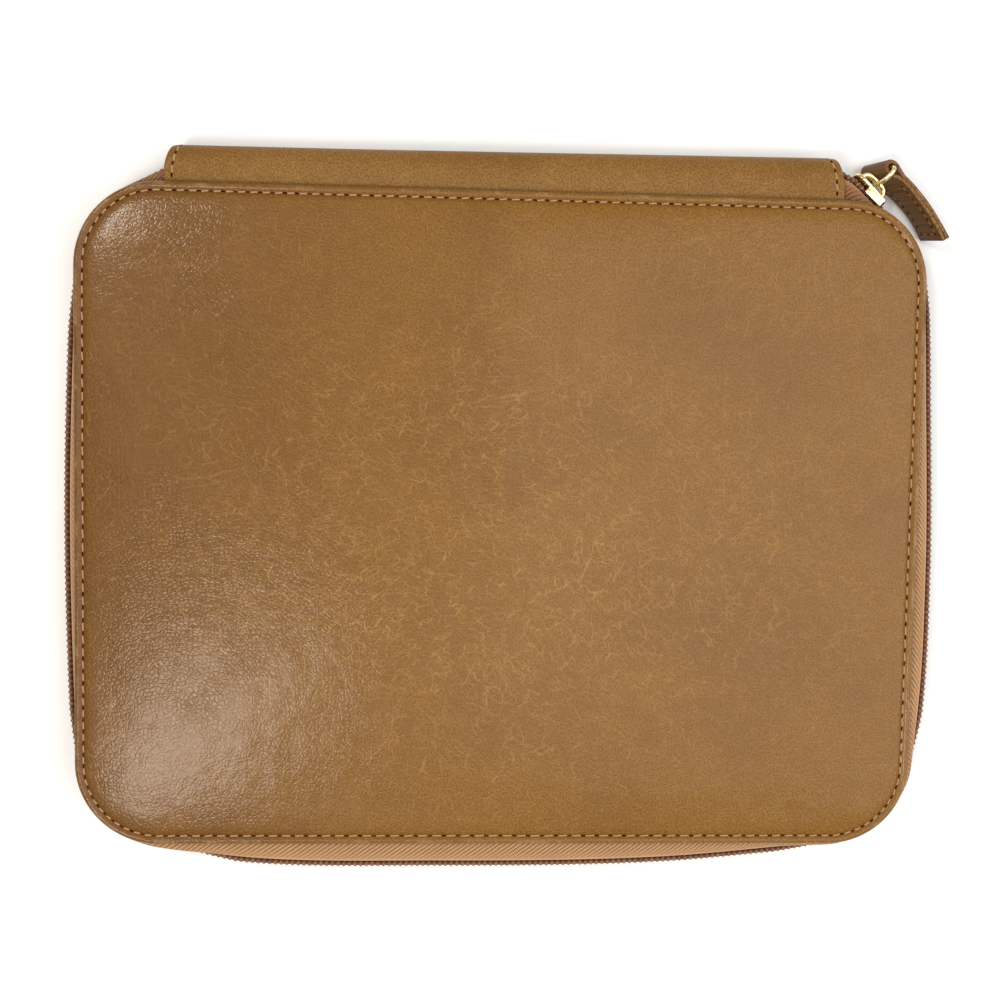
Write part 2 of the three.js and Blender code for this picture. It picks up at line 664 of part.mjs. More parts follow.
function pullStrap(stations) {
  const { outline, opening } = strapProfile();
  const hole = opening.reverse();
  const faces = THREE.ShapeUtils.triangulateShape(outline, [hole]);
  const profile = [...outline, ...hole];
  const count = profile.length;
  const points = [-1, 1].flatMap((side) =>
    profile.map(({ x, y }) => strapPoint(stations, x, y, (side * STRAP_WIDTH) / 2)),
  );
  const index = [];
  for (const [a, b, c] of faces) {
    const turned = THREE.ShapeUtils.area([profile[a], profile[b], profile[c]]) < 0;
    const [second, third] = turned ? [c, b] : [b, c];
    index.push(a, third, second, a + count, second + count, third + count);
  }
  const rings = [
    { start: 0, size: outline.length },
    { start: outline.length, size: hole.length },
  ];
  for (const { start, size } of rings)
    for (let k = 0; k < size; k++) {
      const a = start + k;
      const b = start + ((k + 1) % size);
      index.push(a, b, b + count, a, b + count, a + count);
    }
  return closedSurface(points, index);
}

function named(name, geometry, material) {
  const mesh = new THREE.Mesh(geometry, material);
  mesh.name = name;
  return mesh;
}

function buildCase() {
  const stations = zipStations();
  const frame = sliderFrame();
  const ring = ringFrame(frame);
  const strap = strapStations(ring);
  const group = new THREE.Group();
  group.add(
    named("front_cover", frontCover(), leather),
    named("back_cover", backCover(), leather),
    named("spine", spine(), leather),
    named("zip_tape_front", zipBand(stations, tapeSection, 1), tapeCloth),
    named("zip_tape_back", zipBand(stations, tapeSection, -1), tapeCloth),
    named("zip_coil_front", zipBand(stations, coilSection, 1), nylon),
    named("zip_coil_back", zipBand(stations, coilSection, -1), nylon),
    named("slider", slider(frame, stations), gold),
    named("pull_strap", pullStrap(strap), shadedLeather),
  );
  const ringMesh = named("pull_ring", ringShape(), gold);
  const side = new THREE.Vector3().crossVectors(ring.wayOut, ring.bar);
  const turn = new THREE.Matrix4().makeBasis(ring.wayOut, ring.bar, side);
  ringMesh.quaternion.setFromRotationMatrix(turn);
  ringMesh.position.copy(ring.origin);
  group.add(ringMesh);
  return group;
}

export default buildCase();
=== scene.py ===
"""Looks of a zip-round leather document case, closed and lying on its back cover."""

import logging
import math
from dataclasses import dataclass
from enum import Enum
from typing import Any, Callable, Sequence

import bmesh
import bpy
import numpy as np
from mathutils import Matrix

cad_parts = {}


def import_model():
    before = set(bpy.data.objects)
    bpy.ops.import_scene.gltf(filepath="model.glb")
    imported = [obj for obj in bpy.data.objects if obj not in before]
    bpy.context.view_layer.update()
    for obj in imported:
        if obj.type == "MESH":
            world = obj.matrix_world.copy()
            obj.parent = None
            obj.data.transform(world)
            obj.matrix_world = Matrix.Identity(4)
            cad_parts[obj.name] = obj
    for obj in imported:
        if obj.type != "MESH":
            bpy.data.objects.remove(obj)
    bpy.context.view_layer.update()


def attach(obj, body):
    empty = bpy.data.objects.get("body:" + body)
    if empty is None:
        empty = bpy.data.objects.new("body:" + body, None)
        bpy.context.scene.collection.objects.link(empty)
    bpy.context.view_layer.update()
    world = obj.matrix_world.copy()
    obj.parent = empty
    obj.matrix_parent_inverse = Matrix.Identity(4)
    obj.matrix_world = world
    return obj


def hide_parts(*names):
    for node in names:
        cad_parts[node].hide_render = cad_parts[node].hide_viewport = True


log = logging.getLogger("case")

MM = 0.001
Array = np.ndarray
UP = np.array([0.0, 0.0, 1.0])


class Side(Enum):
    """The half of the case that a piece belongs to."""

    FRONT = 1
    BACK = -1


# ---- small measures -------------------------------------------------------------------------


def unit(vector: Array) -> Array:
    """The vector at length one."""
    return vector / np.linalg.norm(vector)


def linear_reading(places: Sequence[float], values: Sequence[float]) -> Callable[[float], float]:
    """A straight-line reading of values between places."""
    return lambda at: float(np.interp(at, places, values))


def smooth_reading(places: Sequence[float], values: Sequence[float]) -> Callable[[float], float]:
    """A smooth curve through values at places, straight past its ends.

    Args:
        places: rising places.
        values: the value at each place.

    Returns:
        A function from a place to its value.
    """
    p, v = list(places), list(values)

    def read(at: float) -> float:
        """The curve's value at a place."""
        at = min(max(at, p[0]), p[-1])
        k = min(max(int(np.searchsorted(p, at, side="right")) - 1, 0), len(p) - 2)
        t0, t1 = p[k], p[k + 1]
        before = (p[k - 1], v[k - 1]) if k > 0 else (t1, v[k + 1])
        after = (p[k + 2], v[k + 2]) if k + 2 < len(p) else (t0, v[k])
        wp = 0.5 * (t1 - t0) / (t0 - before[0])
        wn = 0.5 * (t1 - t0) / (after[0] - t1)
        q = (at - t0) / (t1 - t0)
        q2, q3 = q * q, q * q * q
        return (
            (-wp * q3 + 2 * wp * q2 - wp * q) * before[1]
            + ((1 + wp) * q3 + (-1.5 - 2 * wp) * q2 + (-0.5 + wp) * q + 1) * v[k]
            + ((-1 - wn) * q3 + (1.5 + wn) * q2 + 0.5 * q) * v[k + 1]
            + (wn * q3 - wn * q2) * after[1]
        )

    return read


def lengths_along(points: Array) -> Array:
    """Distance of each point from the first, along the line through them."""
    return np.r_[0.0, np.cumsum(np.linalg.norm(np.diff(points, axis=0), axis=1))]


def across_line(points: Array) -> Array:
    """Unit normals of a flat line of points, to its left."""
    run = np.gradient(points, axis=0)
    run /= np.linalg.norm(run, axis=1)[:, None]
    return np.c_[-run[:, 1], run[:, 0]]


def wall_contour(line: Array, half: Array) -> Array:
    """The closed contour of a wall round a flat middle line, out one side and back the other.

    Args:
        line: points of the middle line.
        half: half thickness at each point.

    Returns:
        Twice as many points as the line has.
    """
    normal = across_line(line) * half[:, None]
    return np.r_[line + normal, (line - normal)[::-1]]


def spline_points(points: Array, count: int) -> Array:
    """Evenly numbered points of a smooth line through the given ones.

    Args:
        points: the points that the line goes through.
        count: how many to return.

    Returns:
        The points of the line.
    """
    padded = np.r_[points[:1], points, points[-1:]]
    places = np.linspace(0, len(points) - 1, count)
    made = []
    for at in places:
        k = min(int(at), len(points) - 2)
        q = at - k
        a, b, c, d = padded[k : k + 4]
        v0, v1 = (c - a) / 2, (d - b) / 2
        made.append(
            (2 * b - 2 * c + v0 + v1) * q**3 + (-3 * b + 3 * c - 2 * v0 - v1) * q**2 + v0 * q + b
        )
    return np.array(made)


# ---- meshes ---------------------------------------------------------------------------------


@dataclass
class Shell:
    """One closed skin through rings of matching points, in millimetres."""

    rings: Array
    round_rings: bool = True  # each ring's last point joins its first
    round_whole: bool = False  # the last ring joins the first
    uv: Array | None = None
    edge_columns: tuple[int, ...] = ()  # columns of faces that take the second material

    def faces(self) -> list[tuple[int, ...]]:
        """The skin's faces between its rings.

        Returns:
            Four vertex numbers for each face, ring by ring.
        """
        count, width = self.rings.shape[:2]
        wide = width if self.round_rings else width - 1
        deep = count if self.round_whole else count - 1
        made = []
        for r in range(deep):
            s = (r + 1) % count
            for c in range(wide):
                d = (c + 1) % width
                made.append((r * width + c, r * width + d, s * width + d, s * width + c))
        return made


def shell_object(name: str, shells: Sequence[Shell], finishes: Sequence[Any]) -> bpy.types.Object:
    """Makes one object of several closed skins.

    Args:
        name: the piece's name.
        shells: its skins.
        finishes: its materials; a skin's edge columns take the second.

    Returns:
        The object, at the origin, with its faces outwards.
    """
    build = bmesh.new()
    layer = build.loops.layers.uv.new("surface")
    for shell in shells:
        count, width = shell.rings.shape[:2]
        verts = [build.verts.new(p * MM) for p in shell.rings.reshape(-1, 3)]
        wide = width if shell.round_rings else width - 1
        for number, corners in enumerate(shell.faces()):
            face = build.faces.new([verts[k] for k in corners])
            face.smooth = True
            r, c = divmod(number, wide)
            if c in shell.edge_columns and len(finishes) > 1:
                face.material_index = 1
            if shell.uv is not None:
                places = ((r, c), (r, c + 1), (r + 1, c + 1), (r + 1, c))
                for loop, (a, b) in zip(face.loops, places):
                    loop[layer].uv = shell.uv[a, b]
        if shell.round_rings and not shell.round_whole:
            for r in (0, count - 1):
                ring = verts[r * width : (r + 1) * width]
                hub = build.verts.new(sum((v.co for v in ring), ring[0].co * 0) / width)
                for c in range(width):
                    face = build.faces.new((ring[c], ring[(c + 1) % width], hub))
                    face.smooth = True
                    if shell.uv is not None:
                        for loop, b in zip(face.loops, (c, c + 1, c)):
                            loop[layer].uv = shell.uv[r, b]
    bmesh.ops.recalc_face_normals(build, faces=build.faces)
    mesh = bpy.data.meshes.new(name)
    build.to_mesh(mesh)
    build.free()
    for finish in finishes:
        mesh.materials.append(finish)
    piece = bpy.data.objects.new(name, mesh)
    bpy.context.scene.collection.objects.link(piece)
    return piece


def swept(path: Array, across: Array, through: Array, section: Array) -> Array:
    """Rings of a section carried along a path.

    Args:
        path: the path's points.
        across: the direction of the section's first measure at each point.
        through: the direction of its second measure at each point.
        section: the section's points.

    Returns:
        One ring of points for each point of the path.
    """
    first = across[:, None, :] * section[None, :, 0, None]
    second = through[:, None, :] * section[None, :, 1, None]
    return path[:, None, :] + first + second


def ellipse(half_a: float, half_b: float, count: int) -> Array:
    """Points round an ellipse."""
    turn = np.linspace(0, 2 * math.pi, count, endpoint=False)
    return np.c_[half_a * np.cos(turn), half_b * np.sin(turn)]


def rounded_bar(width: float, height: float, corner: float, steps: int = 4) -> Array:
    """Points round a rectangle with round corners.

    Args:
        width: its first size.
        height: its second size.
        corner: the corners' radius.
        steps: facets on each corner.

    Returns:
        The outline's points, counterclockwise.
    """
    made = []
    for sx, sy, start in ((1, 1, 0), (-1, 1, 90), (-1, -1, 180), (1, -1, 270)):
        for k in range(steps + 1):
            turn = math.radians(start + 90 * k / steps)
            x = sx * (width / 2 - corner) + corner * math.cos(turn)
            y = sy * (height / 2 - corner) + corner * math.sin(turn)
            made.append((x, y))
    return np.array(made)


def cushion_plate(outline: Array, low: float, high: float, soft: float) -> Shell:
    """A plate with softened edges, from an outline in x and z, between two levels of y.

    Args:
        outline: the plate's outline.
        low: the first level.
        high: the second level.
        soft: how far the edges are rounded.

    Returns:
        The plate as a skin.
    """
    middle = outline.mean(axis=0)
    reach = np.linalg.norm(outline - middle, axis=1).mean()
    rings = []
    turns = np.linspace(0, math.pi / 2, 4)
    levels = [(low + soft * (1 - math.cos(t)), soft * (1 - math.sin(t))) for t in turns]
    levels += [(high - soft * (1 - math.cos(t)), soft * (1 - math.sin(t))) for t in turns[::-1]]
    for level, inset in levels:
        ring = middle + (outline - middle) * (1 - inset / reach)
        rings.append(np.c_[ring[:, 0], np.full(len(ring), level), ring[:, 1]])
    return Shell(np.array(rings))


# ---- the plan that all the pieces share -----------------------------------------------------


@dataclass(frozen=True)
class Plan:
    """The case's main sizes in millimetres, and its covers' outline."""

    width: float = 306.4
    depth: float = 237.6
    thickness: float = 20.0
    corner: float = 30.0
    cover: float = 3.5
    gap: float = 0.3
    spine_setback: float = 0.7
    spine_wall: float = 1.6
    seam: float = 3.3  # from a cover's edge to its sewing

    @property
    def middle(self) -> float:
        """Height of the chain above the floor."""
        return self.thickness / 2

    @property
    def spine_length(self) -> float:
        """Length of the spine strip."""
        return self.width - 2 * (self.corner + self.spine_setback)

    def stretches(self) -> list[tuple[str, float, float]]:
        """The outline's stretches, counterclockwise from the spine's middle.

        Returns:
            The name, start and length of each.
        """
        x = self.width / 2 - self.corner
        y = self.depth / 2 - self.corner
        turn = math.pi / 2 * self.corner
        rows = [("spine_left", x), ("corner_spine_left", turn), ("left", 2 * y)]
        rows += [("corner_open_left", turn), ("open", 2 * x), ("corner_open_right", turn)]
        rows += [("right", 2 * y), ("corner_spine_right", turn), ("spine_right", x)]
        made, start = [], 0.0
        for name, length in rows:
            made.append((name, start, length))
            start += length
        return made

    def place_of(self, name: str, share: float) -> float:
        """Distance along the outline of a place on a named stretch."""
        return next(s + n * share for k, s, n in self.stretches() if k == name)

    def rim(self, at: float) -> tuple[Array, Array]:
        """A point of the outline and its outward direction.

        Args:
            at: distance along the outline.

        Returns:
            The point and the direction, in plan.
        """
        x = self.width / 2 - self.corner
        y = self.depth / 2 - self.corner
        rows = self.stretches()
        at = at % (rows[-1][1] + rows[-1][2])
        k = next(k for k, (_, s, n) in enumerate(rows) if at < s + n or k == 8)
        q = at - rows[k][1]
        if k % 2:
            cx, cy = ((-x, y), (-x, -y), (x, -y), (x, y))[k // 2]
            turn = math.pi / 2 * (1 + k // 2) + q / self.corner
            out = np.array([math.cos(turn), math.sin(turn)])
            return np.array([cx, cy]) + self.corner * out, out
        half_w, half_d = self.width / 2, self.depth / 2
        return {
            0: (np.array([-q, half_d]), np.array([0.0, 1.0])),
            2: (np.array([-half_w, y - q]), np.array([-1.0, 0.0])),
            4: (np.array([q - x, -half_d]), np.array([0.0, -1.0])),
            6: (np.array([half_w, q - y]), np.array([1.0, 0.0])),
            8: (np.array([x - q, half_d]), np.array([0.0, 1.0])),
        }[k]

    def places(self, step: float, corner_steps: int) -> list[float]:
        """Places round the whole outline, closer together on the corners.

        Args:
            step: longest step on a straight stretch.
            corner_steps: steps on a corner.

        Returns:
            Rising distances from the spine's middle.
        """
        made = []
        for k, (_, start, length) in enumerate(self.stretches()):
            steps = corner_steps if k % 2 else math.ceil(length / step)
            made += [start + length * s / steps for s in range(steps)]
        return made


# ---- finishes -------------------------------------------------------------------------------


def tint(red: int, green: int, blue: int) -> tuple[float, float, float, float]:
    """A screen colour as a shader colour."""
    shares = [c / 255 for c in (red, green, blue)]
    made = [c / 12.92 if c < 0.0431 else ((c + 0.055) / 1.055) ** 2.4 for c in shares]
    return (made[0], made[1], made[2], 1.0)


class Nodes:
    """A node tree whose nodes are added and joined one at a time."""

    def __init__(self, tree: bpy.types.NodeTree) -> None:
        """Keeps the tree."""
        self.tree = tree

    def node(self, kind: str, inputs: dict[Any, Any], **settings: Any) -> bpy.types.Node:
        """Adds a node.

        Args:
            kind: Blender's name of the node.
            inputs: a value or another node's output for each input, by name or number.
            **settings: the node's own settings.

        Returns:
            The node.
        """
        made = self.tree.nodes.new(kind)
        for key, value in settings.items():
            setattr(made, key, value)
        for key, value in inputs.items():
            if isinstance(value, bpy.types.NodeSocket):
                self.tree.links.new(value, made.inputs[key])
            else:
                made.inputs[key].default_value = value
        return made

    def sum(self, how: str, a: Any, b: Any = 0.0, c: Any = 0.0) -> bpy.types.NodeSocket:
        """A sum of two or three numbers, by Blender's name of the operation."""
        return self.node("ShaderNodeMath", {0: a, 1: b, 2: c}, operation=how).outputs[0]

    def product(self, *values: Any) -> Any:
        """The product of several numbers."""
        made = values[0]
        for value in values[1:]:
            made = self.sum("MULTIPLY", made, value)
        return made

    def point(self, x: Any, y: Any, z: Any) -> bpy.types.NodeSocket:
        """A point from three numbers."""
        return self.node("ShaderNodeCombineXYZ", {0: x, 1: y, 2: z}).outputs[0]


class Sheet(Nodes):
    """A material's nodes."""

    def __init__(self, name: str, flat: bool = False) -> None:
        """Starts a material with a plain shader.

        Args:
            name: the material's name.
            flat: whether its textures lie in a plane.
        """
        self.dimensions = "2D" if flat else "3D"
        self.material = bpy.data.materials.new(name)
        self.material.use_nodes = True
        super().__init__(self.material.node_tree)
        self.shader = next(n for n in self.tree.nodes if n.type == "BSDF_PRINCIPLED")

    def blend(self, share: Any, a: Any, b: Any, how: str = "MIX") -> bpy.types.NodeSocket:
        """A colour between two others."""
        made = self.node("ShaderNodeMix", {0: share, 6: a, 7: b}, data_type="RGBA", blend_type=how)
        return made.outputs[2]

    def span(
        self, value: Any, low: float, high: float, start: float, end: float
    ) -> bpy.types.NodeSocket:
        """A number carried smoothly from one span to another."""
        inputs = {0: value, 1: low, 2: high, 3: start, 4: end}
        made = self.node("ShaderNodeMapRange", inputs, interpolation_type="SMOOTHSTEP")
        return made.outputs[0]

    def places(self, scale: float = 1 / MM) -> bpy.types.NodeSocket:
        """Places on the object, in millimetres."""
        where = self.node("ShaderNodeTexCoord", {}).outputs["Object"]
        made = self.node("ShaderNodeVectorMath", {0: where, 3: scale}, operation="SCALE")
        return made.outputs[0]

    def surface(self) -> tuple[bpy.types.NodeSocket, bpy.types.NodeSocket]:
        """The two measures of the piece's own surface map, in millimetres."""
        where = self.node("ShaderNodeUVMap", {}, uv_map="surface").outputs[0]
        parts = self.node("ShaderNodeSeparateXYZ", {0: where})
        return parts.outputs[0], parts.outputs[1]

    def noise(self, where: Any, scale: float, detail: float = 3.0, rough: float = 0.55) -> Any:
        """A cloud of values round a half, by places in millimetres."""
        inputs = {"Vector": where, "Scale": scale, "Detail": detail, "Roughness": rough}
        return self.node("ShaderNodeTexNoise", inputs, noise_dimensions=self.dimensions).outputs[0]

    def cells(self, where: Any, scale: float, feature: str = "F1", random: float = 1.0) -> Any:
        """Distance to the nearest cell's middle, or to the cells' edges."""
        inputs = {"Vector": where, "Scale": scale, "Randomness": random}
        settings = {"feature": feature, "voronoi_dimensions": self.dimensions}
        return self.node("ShaderNodeTexVoronoi", inputs, **settings).outputs["Distance"]

    def relief(self, height: Any, depth_mm: float, under: Any = None) -> bpy.types.NodeSocket:
        """A surface raised by a height, on top of another relief if there is one."""
        inputs = {"Height": height, "Distance": depth_mm * MM, "Strength": 1.0}
        if under is not None:
            inputs["Normal"] = under
        return self.node("ShaderNodeBump", inputs).outputs[0]

    def finish(self, inputs: dict[str, Any]) -> bpy.types.Material:
        """Sets the shader's inputs and returns the material."""
        for key, value in inputs.items():
            if isinstance(value, bpy.types.NodeSocket):
                self.tree.links.new(value, self.shader.inputs[key])
            else:
                self.shader.inputs[key].default_value = value
        return self.material


@dataclass(frozen=True)
class Creases:
    """One layer of pale creases: long cells whose borders are the creases."""

    across: float  # width of a cell in millimetres
    stretch: float  # length of a cell over its width
    turn: float  # direction of the creases in degrees
    line: float  # half width of a crease in millimetres
    strength: float
    patches: tuple[float, float]  # size in millimetres and share of the patches that have creases


CREASES = (
    Creases(3.0, 3.6, -30, 0.12, 1.0, (60, 0.62)),
    Creases(2.2, 2.8, -6, 0.11, 0.85, (44, 0.6)),
    Creases(1.5, 1.8, 62, 0.11, 0.6, (38, 0.58)),
    Creases(5.0, 3.8, 14, 0.13, 1.0, (50, 0.5)),
)


@dataclass(frozen=True)
class Leather:
    """Coated leather with a fine pebble and pale creases."""

    name: str
    seam: float = 0.0  # distance of the sewing from the edge, if its groove is shaded
    tone: tuple[int, int, int] = (136, 94, 24)
    deep: tuple[int, int, int] = (100, 60, 4)
    pale: tuple[int, int, int] = (184, 140, 76)
    creases: float = 0.52
    # how strongly painted shade darkens the left side of the case
    left_painted_shade: float = 0.9
    fade: float = 1.0  # how much the creases fade away from the middle
    coat: float = 0.3
    dull: float = 0.0  # added roughness
    pebbled: float = 1.0  # how strong the pebble is
    mapped: bool = False  # whether the grain follows the piece's own surface map
    # colour of the pale patches on the turned edge's crest, partly a painted highlight
    patchy: tuple[int, int, int] = (214, 180, 136)

    def colour(self, s: Sheet, where: Any, spot: Any, veins: Any, valley_shade: Any) -> Any:
        """The leather's colour.

        Args:
            s: the material's nodes.
            where: places on the surface in millimetres.
            spot: places on the case in millimetres.
            veins: how strongly each place is creased.
            valley_shade: painted shade between the pebbles, partly the leather's own darker valleys.

        Returns:
            The colour's output.
        """
        cloud = s.span(s.noise(where, 0.012, 3), 0.38, 0.66, 0, 0.35)
        # Painted shade: the colour darkens towards the left of the case, where the padded cover turns
        # away from the light.
        left = s.span(s.node("ShaderNodeSeparateXYZ", {0: spot}).outputs[0], -160, 10, 1, 0)
        depth = s.sum("MAXIMUM", s.product(left, self.left_painted_shade), cloud)
        base = s.blend(depth, tint(*self.tone), tint(*self.deep))
        haze = s.span(s.noise(where, 0.06, 5, 0.7), 0.45, 0.8, 0, 0.13)
        base = s.blend(haze, base, tint(*self.pale))
        fine = s.span(s.noise(where, 1.5, 2, 0.7), 0.36, 0.64, 0, 0.8)
        base = s.blend(fine, base, tint(*self.deep))
        # Painted shade between the pebbles, partly the leather's own darker valleys.
        base = s.blend(valley_shade, base, tint(*(c * 2 // 3 for c in self.deep)))
        return s.blend(veins, base, tint(*self.pale))

    def bent(self, s: Sheet, where: Any, size: float, reach: float) -> Any:
        """Places shifted softly to and fro.

        Args:
            s: the material's nodes.
            where: places in millimetres.
            size: distance over which the shift changes.
            reach: how far it goes.

        Returns:
            The shifted places.
        """
        inputs = {"Vector": where, "Scale": 1 / size, "Detail": 2.0}
        drift = s.node("ShaderNodeTexNoise", inputs, noise_dimensions="2D")
        inputs = {0: drift.outputs[1], 1: (0.5,) * 3}
        half = s.node("ShaderNodeVectorMath", inputs, operation="SUBTRACT")
        far = s.node("ShaderNodeVectorMath", {0: half.outputs[0], 3: 2 * reach}, operation="SCALE")
        both = s.node("ShaderNodeVectorMath", {0: where, 1: far.outputs[0]}, operation="ADD")
        return both.outputs[0]

    def veins(self, s: Sheet, where: Any, spot: Any) -> Any:
        """How strongly each place is creased, from 0 to 1.

        Args:
            s: the material's nodes.
            where: places on the surface in millimetres.
            spot: places on the case in millimetres.

        Returns:
            The strength's output.
        """
        flow = self.bent(s, self.bent(s, self.bent(s, where, 90, 24), 8, 2.2), 2.2, 0.55)
        found: Any = 0.0
        for k, layer in enumerate(CREASES):
            turned = {"Vector": flow, "Rotation": (0, 0, math.radians(layer.turn))}
            turned |= {"Location": (37.0 * k, 11.0 * k, 0), "Scale": (layer.stretch, 1.0, 1.0)}
            cells = s.node("ShaderNodeMapping", turned, vector_type="TEXTURE").outputs[0]
            edge = s.cells(cells, 1 / layer.across, "DISTANCE_TO_EDGE")
            line = s.span(edge, 0, layer.line / layer.across, layer.strength, 0)
            size, share = layer.patches
            shifted = {"Vector": where, "Location": (230.0 * k, 90.0 * k, 0)}
            patch = s.node("ShaderNodeMapping", shifted).outputs[0]
            low, high = 1 - share - 0.13, 1 - share + 0.12
            patch = s.span(s.noise(patch, 1 / size, 3), low, high, 0, 1)
            found = s.sum("MAXIMUM", found, s.product(line, patch))
        patchy = s.span(s.noise(where, 0.16, 4, 0.7), 0.38, 0.58, 0.25, 1)
        parts = s.node("ShaderNodeSeparateXYZ", {0: spot}).outputs
        x = s.sum("DIVIDE", parts[0], 150.0)
        y = s.sum("DIVIDE", s.sum("ADD", parts[1], 14.0), 112.0)
        away = s.sum("SQRT", s.sum("ADD", s.product(x, x), s.product(y, y)))
        middle = s.span(away, 0.3, 1.05, 1, 1 - 0.62 * self.fade)
        return s.product(found, patchy, middle, self.creases)

    def material(self) -> bpy.types.Material:
        """Builds the finish.

        Returns:
            The material.
        """
        s = Sheet(self.name, flat=True)
        spot = s.places()
        along, inward = s.surface()
        where = s.point(along, inward, 0.0) if self.mapped else spot
        veins = self.veins(s, where, spot)
        side = s.span(s.node("ShaderNodeSeparateXYZ", {0: spot}).outputs[0], -120, 20, 1, 0.3)
        rugged = s.product(s.span(s.noise(where, 0.02, 2), 0.4, 0.6, 0.5, 1), side)
        cells = s.cells(self.bent(s, where, 4, 0.8), 0.66, "DISTANCE_TO_EDGE")
        pebble = s.span(cells, 0.0, 0.28, 0, 1)
        # Painted shade in the valleys between the pebbles, stronger towards the left; partly the
        # leather's own darker valleys.
        valley_shade = s.product(s.span(cells, 0.0, 0.16, 0.22 * self.pebbled, 0), rugged)
        colour = self.colour(s, where, spot, veins, valley_shade)
        relief = s.relief(s.noise(where, 1.0, 3, 0.7), 0.08)
        relief = s.relief(s.product(pebble, rugged), 0.12 * self.pebbled, relief)
        relief = s.relief(s.noise(where, 0.09, 3), 0.3, relief)
        coat = s.relief(s.product(pebble, rugged), 0.03 * self.pebbled)
        coat = s.relief(s.noise(where, 0.09, 3), 0.22, coat)
        if self.seam:
            # Painted shade: darker along the sewing groove.
            off = s.sum("ABSOLUTE", s.sum("SUBTRACT", inward, self.seam))
            colour = s.blend(s.span(off, 0.25, 1.0, 0.5, 0), colour, tint(*self.deep))
            # Paler patches on the crest of the turned edge: partly wear, partly a painted highlight on
            # the crest.
            crest = s.span(s.sum("ABSOLUTE", s.sum("SUBTRACT", inward, 1.1)), 0.1, 0.9, 0.22, 0)
            patchy = s.span(s.noise(spot, 0.07, 5, 0.75), 0.5, 0.68, 0, 1)
            colour = s.blend(s.product(crest, patchy), colour, tint(*self.patchy))
        rough = s.span(s.noise(where, 0.06, 4), 0.3, 0.7, 0.38 + self.dull, 0.5 + self.dull)
        inputs = {"Base Color": colour, "Roughness": rough, "Normal": relief, "Coat Normal": coat}
        inputs |= {"Coat Weight": self.coat, "Coat Roughness": 0.16, "Specular IOR Level": 0.38}
        inputs |= {"Specular Tint": (1.0, 0.86, 0.7, 1.0), "Coat Tint": (1.0, 0.95, 0.86, 1.0)}
        return s.finish(inputs)


@dataclass(frozen=True)
class NeedleHoleShade:
    """Painted shade for the inside of a needle hole."""

    name: str = "needle hole"

    def material(self) -> bpy.types.Material:
        """Builds the finish.

        Returns:
            The material.
        """
        s = Sheet(self.name)
        patch = s.span(s.noise(s.places(), 0.4, 2), 0.35, 0.65, 0, 1)
        colour = s.blend(patch, tint(52, 20, 8), tint(88, 44, 18))
        return s.finish({"Base Color": colour, "Roughness": 0.9, "Specular IOR Level": 0.05})


@dataclass(frozen=True)
class CutEdge:
    """The raw edge of folded leather, with its layers showing."""

    name: str = "cut leather edge"

    def material(self) -> bpy.types.Material:
        """Builds the finish.

        Returns:
            The material.
        """
        s = Sheet(self.name)
        where = s.places()
        patch = s.span(s.noise(where, 0.9, 4, 0.7), 0.35, 0.65, 0, 1)
        colour = s.blend(patch, tint(150, 108, 54), tint(88, 58, 28))
        relief = s.relief(s.noise(where, 3.0, 4, 0.7), 0.12)
        return s.finish({"Base Color": colour, "Roughness": 0.75, "Normal": relief})


@dataclass(frozen=True)
class Thread:
    """Twisted sewing thread."""

    name: str
    colour: tuple[int, int, int] = (214, 170, 112)

    def material(self) -> bpy.types.Material:
        """Builds the finish.

        Returns:
            The material.
        """
        s = Sheet(self.name)
        where = s.places()
        # Painted shade: the thread is darker in the grooves between its plies.
        dark = tuple(int(c * 0.72) for c in self.colour)
        ply = s.node("ShaderNodeTexWave", {"Vector": where, "Scale": 1.6, "Distortion": 1.5})
        ply.bands_direction = "DIAGONAL"
        share = s.span(ply.outputs[1], 0.2, 0.8, 0, 1)
        colour = s.blend(share, tint(*dark), tint(*self.colour))
        relief = s.relief(ply.outputs[1], 0.08)
        inputs = {"Base Color": colour, "Roughness": 0.6, "Normal": relief}
        return s.finish(inputs | {"Sheen Weight": 0.2})


